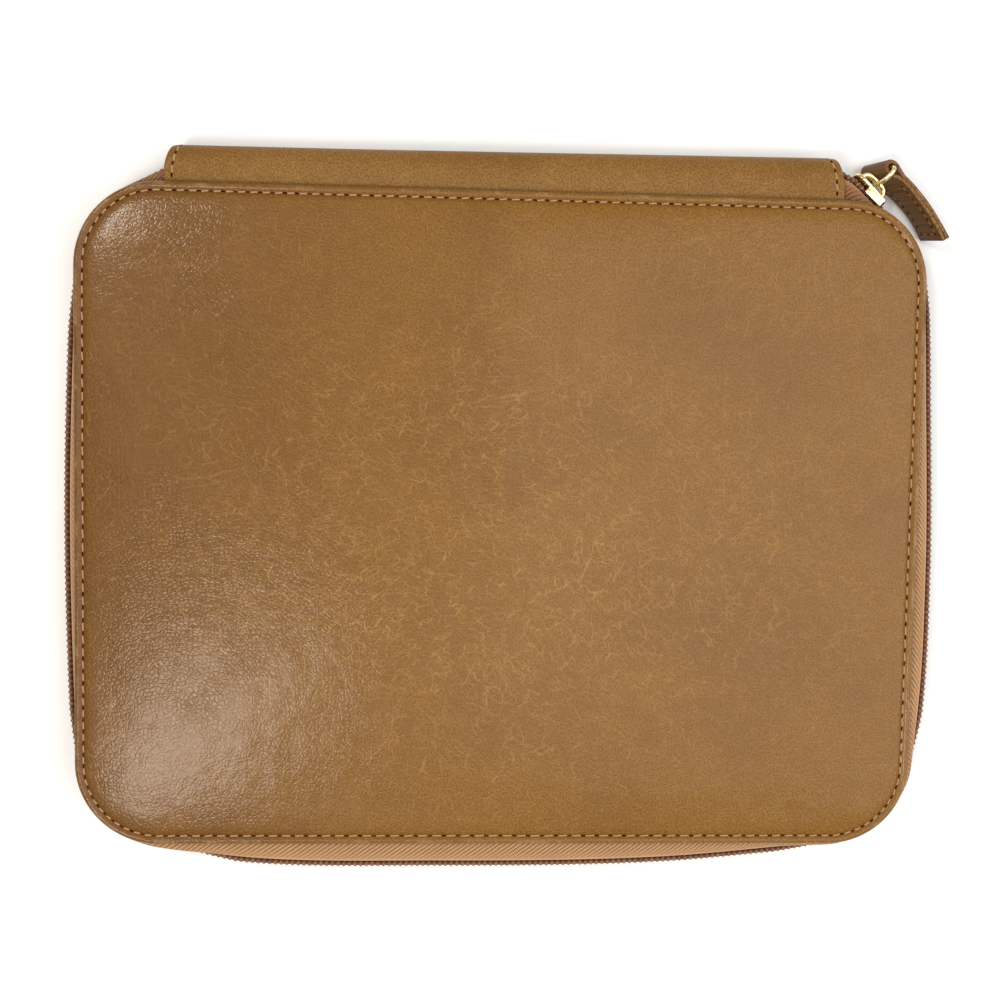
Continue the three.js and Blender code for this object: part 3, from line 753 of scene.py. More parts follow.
@dataclass(frozen=True)
class TapeCloth:
    """Woven zip tape: a diagonal weave with a smooth folded edge by the chain, with painted shade
    under the spine.
    """

    name: str = "zip tape weave"
    rib: float = 2.15  # from one diagonal to the next, along the tape
    thread: float = 0.85  # from one thread to the next
    folded: float = 1.0  # width of the smooth edge
    shaded: float = 109.0  # distance past the middle from which the tape is under the spine

    def material(self) -> bpy.types.Material:
        """Builds the finish.

        Returns:
            The material.
        """
        s = Sheet(self.name)
        where = s.places()
        along, inward = s.surface()
        wobble = s.product(s.sum("SUBTRACT", s.noise(where, 0.5, 2), 0.5), 0.5)
        rib = s.sum("ADD", s.sum("SUBTRACT", along, s.product(inward, 1.35)), wobble)
        rib = s.sum("SINE", s.product(rib, 2 * math.pi / self.rib))
        pick = s.sum("ADD", s.product(along, 0.9), s.product(inward, 0.7))
        pick = s.sum("SINE", s.product(s.sum("ADD", pick, wobble), 2 * math.pi / self.thread))
        contrast = s.span(inward, 2.6, 4.4, 0.2, 0.42)
        both = s.sum("ADD", rib, s.product(pick, 0.8))
        weave = s.sum("ADD", s.sum("MULTIPLY", both, contrast), 0.55)
        smooth = s.span(s.sum("ABSOLUTE", inward), self.folded * 0.7, self.folded * 1.9, 1, 0)
        weave = s.sum("ADD", weave, s.product(smooth, s.sum("SUBTRACT", 0.95, weave)))
        # Painted shade: the weave's low places are darker than its raised ribs.
        colour = s.blend(weave, tint(108, 68, 32), tint(206, 160, 112))
        haze = s.span(s.noise(where, 0.06, 4), 0.4, 0.7, 0, 0.2)
        colour = s.blend(haze, colour, tint(158, 108, 66))
        # Painted shade: the tape turns deep reddish brown where it runs under the spine.
        back = s.node("ShaderNodeSeparateXYZ", {0: where}).outputs[1]
        rear = s.span(back, 100, self.shaded, 0, 0.75)
        colour = s.blend(rear, colour, s.blend(weave, tint(70, 34, 16), tint(150, 96, 58)))
        relief = s.relief(weave, 0.22)
        relief = s.relief(s.noise(where, 4.0, 2), 0.05, relief)
        inputs = {"Base Color": colour, "Roughness": 0.85, "Normal": relief}
        return s.finish(inputs | {"Sheen Weight": 0.15, "Sheen Roughness": 0.5})


@dataclass(frozen=True)
class Nylon:
    """Dark, slightly shiny coil."""

    name: str
    colour: tuple[int, int, int] = (112, 80, 56)
    roughness: float = 0.22

    def material(self) -> bpy.types.Material:
        """Builds the finish.

        Returns:
            The material.
        """
        s = Sheet(self.name)
        where = s.places()
        patch = s.span(s.noise(where, 0.5, 3), 0.3, 0.7, 0, 1)
        lighter = tuple(int(c * 1.25) for c in self.colour)
        colour = s.blend(patch, tint(*self.colour), tint(*lighter))
        relief = s.relief(s.noise(where, 3.0, 3), 0.03)
        inputs = {"Base Color": colour, "Roughness": self.roughness, "Normal": relief}
        return s.finish(inputs | {"Specular IOR Level": 0.6})


@dataclass(frozen=True)
class Gold:
    """Pale polished plating."""

    name: str = "pale gold plating"

    def material(self) -> bpy.types.Material:
        """Builds the finish.

        Returns:
            The material.
        """
        s = Sheet(self.name)
        where = s.places()
        patchy = s.span(s.noise(where, 0.8, 4, 0.7), 0.45, 0.75, 0, 1)
        colour = s.blend(patchy, tint(253, 234, 182), tint(236, 200, 130))
        drawn = {"Vector": where, "Scale": (6.0, 0.6, 3.0)}
        scratch = s.node("ShaderNodeMapping", drawn).outputs[0]
        relief = s.relief(s.noise(scratch, 1.0, 3), 0.004)
        rough = s.span(s.noise(scratch, 0.7, 3), 0.3, 0.7, 0.1, 0.2)
        inputs = {"Base Color": colour, "Roughness": rough, "Normal": relief, "Metallic": 1.0}
        return s.finish(inputs)


# ---- rows of repeated pieces ----------------------------------------------------------------


class RowTree(Nodes):
    """A node tree that sets one small piece at each of many spots."""

    def __init__(self, name: str, sizes: Sequence[str]) -> None:
        """Starts the tree.

        Args:
            name: the tree's name.
            sizes: the names of its numbers.
        """
        super().__init__(bpy.data.node_groups.new(name, "GeometryNodeTree"))
        self.identifiers: dict[str, str] = {}
        kind = "NodeSocketGeometry"
        self.tree.interface.new_socket("Geometry", in_out="OUTPUT", socket_type=kind)
        self.entry = self.tree.nodes.new("NodeGroupInput")
        self.exit = self.tree.nodes.new("NodeGroupOutput")
        self.input("Spots", "NodeSocketGeometry")
        self.input("Material", "NodeSocketMaterial")
        self.input("Seed", "NodeSocketInt")
        for size in sizes:
            self.input(size, "NodeSocketFloat")

    def input(self, name: str, kind: str) -> None:
        """Adds a named input to the tree."""
        made = self.tree.interface.new_socket(name, in_out="INPUT", socket_type=kind)
        self.identifiers[name] = made.identifier

    def given(self, name: str) -> bpy.types.NodeSocket:
        """The output of a named input."""
        return self.entry.outputs[name]

    def close(self, piece: bpy.types.NodeSocket, slant: Any, wander: float) -> None:
        """Sets the piece at the spots and ends the tree.

        Args:
            piece: the piece's geometry, lengthways on X with its top to Z.
            slant: turn of each piece about its top, in radians.
            wander: how much the slant differs from one to the next.
        """
        spot = {"run": "FLOAT_VECTOR", "top": "FLOAT_VECTOR", "reach": "FLOAT"}
        for name, kind in spot.items():
            read = self.node("GeometryNodeInputNamedAttribute", {"Name": name}, data_type=kind)
            spot[name] = read.outputs[0]
        inputs = {"Primary Axis": spot["top"], "Secondary Axis": spot["run"]}
        axes = {"primary_axis": "Z", "secondary_axis": "X"}
        turned = self.node("FunctionNodeAxesToRotation", inputs, **axes).outputs[0]
        inputs = {2: -wander, 3: wander, "Seed": self.given("Seed")}
        chance = self.node("FunctionNodeRandomValue", inputs, data_type="FLOAT").outputs[1]
        inputs = {"Axis": (0, 0, 1), "Angle": self.sum("ADD", chance, slant)}
        lean = self.node("FunctionNodeAxisAngleToRotation", inputs)
        inputs = {"Rotation": turned, "Rotate By": lean.outputs[0]}
        turned = self.node("FunctionNodeRotateRotation", inputs, rotation_space="LOCAL")
        inputs = {"Points": self.given("Spots"), "Instance": piece, "Rotation": turned.outputs[0]}
        inputs["Scale"] = self.point(spot["reach"], 1.0, 1.0)
        row = self.node("GeometryNodeInstanceOnPoints", inputs).outputs[0]
        row = self.node("GeometryNodeRealizeInstances", {0: row}).outputs[0]
        row = self.node("GeometryNodeSetShadeSmooth", {0: row}).outputs[0]
        inputs = {"Geometry": row, "Material": self.given("Material")}
        row = self.node("GeometryNodeSetMaterial", inputs).outputs[0]
        self.tree.links.new(row, self.exit.inputs[0])

    def make(self, name: str, spots: "Spots", values: dict[str, Any]) -> bpy.types.Object:
        """Runs the tree on spots and keeps its result as a plain mesh.

        Args:
            name: the piece's name.
            spots: where its copies go.
            values: the tree's inputs by name.

        Returns:
            The finished object.
        """
        mesh = bpy.data.meshes.new(name + "_spots")
        mesh.from_pydata((spots.places * MM).tolist(), [], [])
        for key in ("run", "top"):
            attribute = mesh.attributes.new(key, "FLOAT_VECTOR", "POINT")
            attribute.data.foreach_set("vector", getattr(spots, key).astype(np.float32).ravel())
        attribute = mesh.attributes.new("reach", "FLOAT", "POINT")
        attribute.data.foreach_set("value", spots.reach.astype(np.float32))
        piece = bpy.data.objects.new(name, mesh)
        bpy.context.scene.collection.objects.link(piece)
        row = piece.modifiers.new("row", "NODES")
        row.node_group = self.tree
        for key, value in values.items():
            row[self.identifiers[key]] = value
        bpy.context.view_layer.update()
        graph = bpy.context.evaluated_depsgraph_get()
        done = bpy.data.meshes.new_from_object(piece.evaluated_get(graph), depsgraph=graph)
        piece.modifiers.remove(row)
        piece.data = done
        bpy.data.meshes.remove(mesh)
        return piece


@dataclass
class Spots:
    """Places in millimetres with the directions of the run and the top, and a length share."""

    places: Array
    run: Array
    top: Array
    reach: Array

    @classmethod
    def on_line(cls, line: Array, tops: Array, at: Array, reach: Array | float = 1.0) -> "Spots":
        """Spots at distances along a line.

        Args:
            line: the line's points.
            tops: the direction of the top at each.
            at: distances along it.
            reach: the length share of each spot.

        Returns:
            The spots.
        """
        along = lengths_along(line)

        def read(values: Array, where: Array) -> Array:
            """Values of the line at distances along it."""
            return np.array([np.interp(where, along, values[:, k]) for k in range(3)]).T

        run = read(line, at + 0.2) - read(line, at - 0.2)
        return cls(read(line, at), run, read(tops, at), np.full(len(at), 1.0) * reach)

    @classmethod
    def joined(cls, parts: Sequence["Spots"]) -> "Spots":
        """Several sets of spots as one."""
        keys = ("places", "run", "top", "reach")
        return cls(*(np.concatenate([getattr(p, key) for p in parts]) for key in keys))


def thread_tree() -> RowTree:
    """The tree of stitches, each a short thread that arches between two holes.

    Returns:
        The tree, with inputs Length, Thickness, Rise and Slant.
    """
    row = RowTree("stitches", ("Length", "Thickness", "Rise", "Slant"))
    half = row.product(row.given("Length"), 0.5)
    sunk = row.product(row.given("Thickness"), -0.8)
    ends = row.point(row.product(half, -1.0), 0.0, sunk), row.point(half, 0.0, sunk)
    inputs = {"Resolution": 7, "Start": ends[0], "End": ends[1]}
    inputs["Middle"] = row.point(0.0, 0.0, row.given("Rise"))
    line = row.node("GeometryNodeCurveQuadraticBezier", inputs).outputs[0]
    inputs = {"Resolution": 7, "Radius": row.product(row.given("Thickness"), 0.5)}
    ring = row.node("GeometryNodeCurvePrimitiveCircle", inputs, mode="RADIUS").outputs[0]
    inputs = {"Curve": line, "Profile Curve": ring, "Fill Caps": True}
    thread = row.node("GeometryNodeCurveToMesh", inputs).outputs[0]
    row.close(thread, row.given("Slant"), 0.07)
    return row


def hole_tree() -> RowTree:
    """The tree of needle holes, each a flat dark lens of painted shade.

    Returns:
        The tree, with inputs Length, Width and Slant.
    """
    row = RowTree("needle holes", ("Length", "Width", "Slant"))
    inputs = {"Segments": 10, "Rings": 4, "Radius": 0.5}
    lens = row.node("GeometryNodeMeshUVSphere", inputs).outputs[0]
    size = row.point(row.given("Length"), row.given("Width"), 0.14 * MM)
    lens = row.node("GeometryNodeTransform", {"Geometry": lens, "Scale": size}).outputs[0]
    row.close(lens, row.given("Slant"), 0.12)
    return row


def coil_tree() -> RowTree:
    """The tree of a chain's coil, one leaning loop of wire for each turn.

    Returns:
        The tree, with inputs Depth, Width, Wire and Slant.
    """
    row = RowTree("coil of the chain", ("Depth", "Width", "Wire", "Slant"))
    inputs = {"Resolution": 11, "Radius": 0.5}
    loop = row.node("GeometryNodeCurvePrimitiveCircle", inputs, mode="RADIUS").outputs[0]
    depth = row.sum("SUBTRACT", row.given("Depth"), row.given("Wire"))
    width = row.sum("SUBTRACT", row.given("Width"), row.given("Wire"))
    inputs = {"Geometry": loop, "Scale": row.point(depth, width, 1.0)}
    loop = row.node("GeometryNodeTransform", inputs).outputs[0]
    inputs = {"Geometry": loop, "Rotation": (0.0, math.pi / 2, 0.0)}
    loop = row.node("GeometryNodeTransform", inputs).outputs[0]
    inputs = {"Resolution": 5, "Radius": row.product(row.given("Wire"), 0.5)}
    ring = row.node("GeometryNodeCurvePrimitiveCircle", inputs, mode="RADIUS").outputs[0]
    inputs = {"Curve": loop, "Profile Curve": ring}
    turns = row.node("GeometryNodeCurveToMesh", inputs).outputs[0]
    row.close(turns, row.given("Slant"), 0.0)
    return row


@dataclass(frozen=True)
class Sewing:
    """The thread and needle holes of the sewing, and the trees that lay them."""

    thread: bpy.types.Material
    hole: bpy.types.Material
    threads: RowTree
    holes: RowTree
    thickness: float = 0.57
    rise: float = 0.62
    hole_length: float = 1.85
    hole_width: float = 0.9

    def sew(self, name: str, lines: Sequence[tuple[Array, Array, Array]]) -> None:
        """Makes the stitches and needle holes on lines.

        Args:
            name: the start of the pieces' names.
            lines: points, directions of the top and distances of the holes, for each line.
        """
        rows, pricks = [], []
        for line, tops, at in lines:
            gaps = np.diff(at)
            share = (gaps - 0.9) / 3.0
            rows.append(Spots.on_line(line, tops, at[:-1] + gaps / 2, share))
            raised = line + tops / np.linalg.norm(tops, axis=1)[:, None] * 0.07
            pricks.append(Spots.on_line(raised, tops, at))
        values = {"Material": self.thread, "Seed": 3, "Length": 3.0 * MM, "Slant": 0.08}
        values |= {"Thickness": self.thickness * MM, "Rise": self.rise * MM}
        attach(self.threads.make(name + "_stitches", Spots.joined(rows), values), "root")
        values = {"Material": self.hole, "Seed": 4, "Slant": -0.1}
        values |= {"Length": self.hole_length * MM, "Width": self.hole_width * MM}
        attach(self.holes.make(name + "_needle_hole_shade", Spots.joined(pricks), values), "root")


# ---- covers ---------------------------------------------------------------------------------

# Section of a cover's turned edge from its inner face round to its top: inset from the outline,
# and height below the top's crest.
TURNED_EDGE = (
    (22.0, -3.5), (1.3, -3.5), (0.5, -3.38), (0.15, -3.05), (0.02, -2.5), (0.0, -1.9), (0.1, -1.2),
    (0.34, -0.65), (0.7, -0.25), (1.15, -0.04), (1.6, 0.0), (2.05, -0.09), (2.5, -0.32),
    (2.9, -0.6), (3.3, -0.74), (3.7, -0.6), (4.1, -0.34), (4.6, -0.09), (5.2, 0.06),
)
# Rise of the padded field inside the sewing: inset from the outline, height above the crest.
FIELD = (
    (6.2, 0.2), (7.5, 0.34), (9.2, 0.46), (11.5, 0.58), (14.5, 0.71), (18.0, 0.85), (22.0, 0.98),
)
GROOVE = -0.7  # height of the sewing above the crest

# Spacing of the stitches: stretch of the outline, share along it, distance from hole to hole.
SPACING = (
    ("spine_left", 0, 4.5), ("spine_left", 1, 4.2), ("corner_spine_left", 0.5, 3.85),
    ("left", 0.05, 4.6), ("left", 0.5, 4.95), ("left", 0.92, 4.3), ("corner_open_left", 0.5, 3.7),
    ("open", 0.05, 4.5), ("open", 0.4, 5.2), ("open", 0.9, 4.9), ("corner_open_right", 0.5, 3.8),
    ("right", 0.1, 4.9), ("right", 0.7, 5.0), ("corner_spine_right", 0.5, 3.85),
    ("spine_right", 0.1, 4.4), ("spine_right", 1, 4.5),
)


@dataclass
class Cover:
    """A padded leather cover with a turned edge, sewn all round."""

    plan: Plan
    side: Side
    crown: float = 1.6
    swell: float = 0.34  # height of the soft swells in the padding
    field_rings: int = 30
    column_step: float = 3.6
    corner_columns: int = 20

    @property
    def name(self) -> str:
        """The CAD node that the cover stands for."""
        return "front_cover" if self.side is Side.FRONT else "back_cover"

    def height(self, level: float) -> float:
        """Height above the floor for a level above the crest."""
        if self.side is Side.FRONT:
            return self.plan.thickness + level
        return max(-level, 0.0)

    def columns(self) -> tuple[list[float], Array]:
        """Places round the cover and the line of its sewing there, closed.

        Returns:
            The places and the line.
        """
        places = self.plan.places(self.column_step, self.corner_columns)
        line = [p - out * self.plan.seam for p, out in map(self.plan.rim, places)]
        return places, np.array([*line, line[0]])

    def swells(self, x: Array, y: Array, inset: float) -> Array:
        """Soft unevenness of the padding, in millimetres.

        Args:
            x: places along the spine.
            y: places across the case.
            inset: distance from the outline.

        Returns:
            The height to add at each place.
        """
        if self.side is Side.BACK:
            return np.zeros_like(x)
        flat_rim, full_rise = 5.0, 14.0
        fade = min(max((inset - flat_rim) / full_rise, 0.0), 1.0)
        wave = 0.42 * np.sin(x / 31 + 1.1 * np.sin(y / 43 + 0.6) + 0.4)
        wave += 0.34 * np.sin(y / 27 + 0.9 * np.sin(x / 52 + 2.0) + 1.9)
        wave += 0.2 * np.sin((x + y) / 17 + 0.8 * np.sin((x - y) / 39))
        return self.swell * fade * wave

    def shell(self) -> Shell:
        """The cover's skin with its surface map.

        Returns:
            The skin.
        """
        places, line = self.columns()
        along = lengths_along(line)
        rims = [self.plan.rim(at) for at in places]
        point = np.array([p for p, _ in rims])
        out = np.array([o for _, o in rims])
        rings, maps = [], []
        for inset, level in TURNED_EDGE + FIELD:
            flat = point - out * inset
            z = self.height(level) + self.swells(flat[:, 0], flat[:, 1], inset)
            rings.append(np.c_[flat, z])
            inward = inset if level > -2.6 else -6.0
            maps.append(np.c_[along, np.full(len(along), inward)])
        last_inset, last_level = FIELD[-1]
        base = point - out * last_inset
        for k in range(1, self.field_rings + 1):
            share = 1 - 0.985 * k / self.field_rings
            flat = base * share
            level = last_level + (self.crown - last_level) * (1 - share**2)
            inset = last_inset + (self.plan.depth / 2 - last_inset) * (1 - share)
            z = self.height(level) + self.swells(flat[:, 0], flat[:, 1], inset)
            rings.append(np.c_[flat, z])
            maps.append(np.c_[along, np.full(len(along), inset)])
        return Shell(np.array(rings), uv=np.array(maps))

    def sewing(self) -> tuple[Array, Array, Array]:
        """The line of the sewing.

        Returns:
            Its points, the direction of its top, and the distance of each needle hole along it.
        """
        places, flat = self.columns()
        along = lengths_along(flat)
        line = np.c_[flat, np.full(len(flat), self.height(GROOVE))]
        marks = [self.plan.place_of(name, share) for name, share, _ in SPACING]
        spacing = np.interp(places, marks, [row[2] for row in SPACING])
        steps = np.diff(along) / spacing
        count = np.r_[0.0, np.cumsum(steps)]
        whole = round(count[-1])
        at = np.interp(np.arange(whole + 1), count * whole / count[-1], along)
        return line, np.tile(UP * self.side.value, (len(line), 1)), at

    def build(self, leather: bpy.types.Material, sewing: Sewing) -> None:
        """Makes the cover and its stitches.

        Args:
            leather: the cover's finish.
            sewing: its thread and needle holes.
        """
        skin = shell_object(self.name + "_leather", [self.shell()], [leather])
        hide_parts(self.name)
        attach(skin, "root")
        sewing.sew(self.name, [self.sewing()])
        log.info("%s: %d faces and its stitches", self.name, len(skin.data.polygons))


# ---- spine ----------------------------------------------------------------------------------


@dataclass
class Spine:
    """The leather strip that wraps the case's back, hemmed and sewn at both ends."""

    plan: Plan
    bulge: float = 15.2
    end_draw: float = 2.6
    hem: float = 3.0  # from an end to its sewing
    pitch: float = 4.2  # of its stitches
    samples: int = 72
    section: tuple[tuple[float, float], ...] = (
        (-0.5, 1), (-0.04, 1), (0.12, 1.07), (0.38, 1.16), (0.64, 1.08), (0.86, 0.7), (0.95, 0),
    )
    bulges: tuple[tuple[float, float], ...] = (
        (-1, 0.92), (-0.97, 0.94), (-0.5, 0.96), (0, 1), (0.5, 1.05), (0.97, 1.09), (1, 1.07),
    )
    # Distance from an end and share of the wall there.
    rounded_end: tuple[tuple[float, float], ...] = (
        (0.0, 0.35), (0.1, 0.62), (0.28, 0.84), (0.55, 0.97), (0.95, 1.04), (1.6, 1.08), (2.3, 1.03),
        (2.7, 0.94), (3.0, 0.9), (3.3, 0.94), (3.8, 1.0), (5.0, 1.0),
    )

    def middle_line(self, bulge: float) -> Array:
        """The section's middle line for a bulge."""
        held = self.plan.middle - self.plan.cover - self.plan.gap - self.plan.spine_wall / 2
        half = np.array([(bulge * out, held * up) for out, up in self.section])
        return spline_points(np.r_[half, half[-2::-1] * (1, -1)], self.samples)

    def ring(self, from_end: float, end: int) -> tuple[Array, Array]:
        """The section's contour at a distance from an end.

        Args:
            from_end: distance along the spine.
            end: -1 for the left end, 1 for the right.

        Returns:
            The contour's points and the distance of each along the section.
        """
        half_length = self.plan.spine_length / 2
        share = end * (1 - from_end / half_length)
        bulge = self.bulge * float(np.interp(share, *zip(*self.bulges)))
        line = self.middle_line(bulge)
        wall = float(np.interp(from_end, *zip(*self.rounded_end))) * self.plan.spine_wall / 2
        contour = wall_contour(line, np.full(len(line), wall))
        drawn = self.end_draw * (np.maximum(contour[:, 0], 0) / bulge) ** 2
        x = share * (half_length - drawn)
        y = self.plan.depth / 2 + contour[:, 0]
        along = lengths_along(line)
        along = along - along[self.first_shown(line)]
        return np.c_[x, y, self.plan.middle + contour[:, 1]], np.r_[along, along[::-1]]

    def first_shown(self, line: Array) -> int:
        """The first point of a section that is clear of the cover."""
        return int(np.argmax(line[:, 0] > 1.0))

    def shell(self) -> Shell:
        """The strip's skin with its surface map.

        Returns:
            The skin.
        """
        half = self.plan.spine_length / 2
        near = [d for d, _ in self.rounded_end]
        far = list(np.linspace(near[-1], half, 28)[1:])
        rings, maps = [], []
        for end, distances in ((-1, near + far), (1, (near + far)[-2::-1])):
            for distance in distances:
                ring, along = self.ring(distance, end)
                rings.append(ring)
                along = np.r_[along, along[:1]]
                maps.append(np.c_[np.full(len(along), end * (half - distance)), along])
        return Shell(np.array(rings), uv=np.array(maps))

    def sewing(self, end: int) -> tuple[Array, Array, Array]:
        """The line of stitches across an end.

        Args:
            end: -1 for the left end, 1 for the right.

        Returns:
            Its points, the direction of its top, and the distance of each needle hole along it.
        """
        ring, along = self.ring(self.hem, end)
        first = int(np.argmin(np.abs(along[: self.samples])))
        kept = slice(first, self.samples - first)
        tops = across_line(ring[: self.samples, 1:])[kept]
        line = ring[kept]
        at = np.arange(1.6, lengths_along(line)[-1] - 1.0, self.pitch)
        return line, np.c_[np.zeros(len(tops)), tops], at

    def build(self, leather: bpy.types.Material, sewing: Sewing) -> None:
        """Makes the strip and its two rows of stitches.

        Args:
            leather: the strip's finish.
            sewing: its thread and needle holes.
        """
        skin = shell_object("spine_leather", [self.shell()], [leather])
        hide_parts("spine")
        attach(skin, "root")
        sewing.sew("spine", [self.sewing(-1), self.sewing(1)])
        log.info("spine: %d faces and its stitches", len(skin.data.polygons))


# ---- zip ------------------------------------------------------------------------------------

# The chain's line: stretch of the outline, share along it, distance outside the outline as a share
# of the bulge, opening between the coils as a share of the mouth, and depth under the spine.
ZIP_LINE = (
    ("spine_left", 0.92, 0.83, 0, 1), ("spine_left", 1, 0.68, 0, 1),
    ("corner_spine_left", 0.09, 0.46, 0, 0.2), ("corner_spine_left", 0.2, 0.29, 0, 0),
    ("corner_spine_left", 0.4, 0.19, 0, 0), ("corner_spine_left", 0.8, 0.2, 0, 0),
    ("left", 0.15, 0.38, 0, 0), ("left", 0.5, 0.51, 0, 0), ("left", 0.88, 0.38, 0, 0),
    ("corner_open_left", 0.35, 0.19, 0, 0), ("corner_open_left", 0.8, 0.28, 0, 0),
    ("open", 0.02, 0.5, 0, 0), ("open", 0.12, 0.86, 0, 0), ("open", 0.4, 1, 0, 0),
    ("open", 0.75, 0.87, 0, 0), ("open", 0.96, 0.45, 0, 0),
    ("corner_open_right", 0.4, 0.19, 0, 0), ("corner_open_right", 0.85, 0.37, 0, 0),
    ("right", 0.1, 0.69, 0, 0), ("right", 0.4, 0.79, 0, 0), ("right", 0.75, 0.58, 0, 0),
    ("corner_spine_right", 0, 0.34, 0, 0), ("corner_spine_right", 0.28, 0.17, 0, 0),
    ("corner_spine_right", 0.52, 0.15, 0, 0), ("corner_spine_right", 0.68, 0.24, 0, 0),
    ("corner_spine_right", 0.82, 0.5, 0.35, 0), ("corner_spine_right", 0.93, 0.84, 1, 0.2),
    ("spine_right", 0, 1.05, 0.4, 1), ("spine_right", 0.08, 1.06, 0.3, 1),
)


# How far the chain is rolled under the tape: stretch of the outline, share along it, share of a
# full roll.
ROLL = (
    ("spine_left", 1, 0.7), ("corner_spine_left", 0.3, 0.9), ("left", 0.02, 0.5), ("left", 0.12, 0),
    ("left", 0.9, 0), ("corner_open_left", 0.2, 1), ("open", 0.03, 1), ("open", 0.11, 0),
    ("open", 0.93, 0), ("corner_open_right", 0.1, 1), ("corner_open_right", 0.9, 1), ("right", 0.1, 0),
    ("right", 0.95, 0), ("corner_spine_right", 0.2, 0.6), ("corner_spine_right", 0.7, 0),
)


@dataclass(frozen=True)
class Station:
    """One place of the zip: the outline's and the chain's frames in plan, and its own sizes."""

    rim: Array
    rim_out: Array
    chain: Array
    chain_out: Array
    bulge: float
    split: float
    held: float
    roll: float

    def placed(self, out: Array, weight: Array) -> Array:
        """Plan places for distances outside the outline, carried from its frame to the chain's."""
        from_rim = self.rim + self.rim_out * out[:, None]
        from_chain = self.chain + self.chain_out * (out - self.bulge)[:, None]
        return from_rim + (from_chain - from_rim) * weight[:, None]


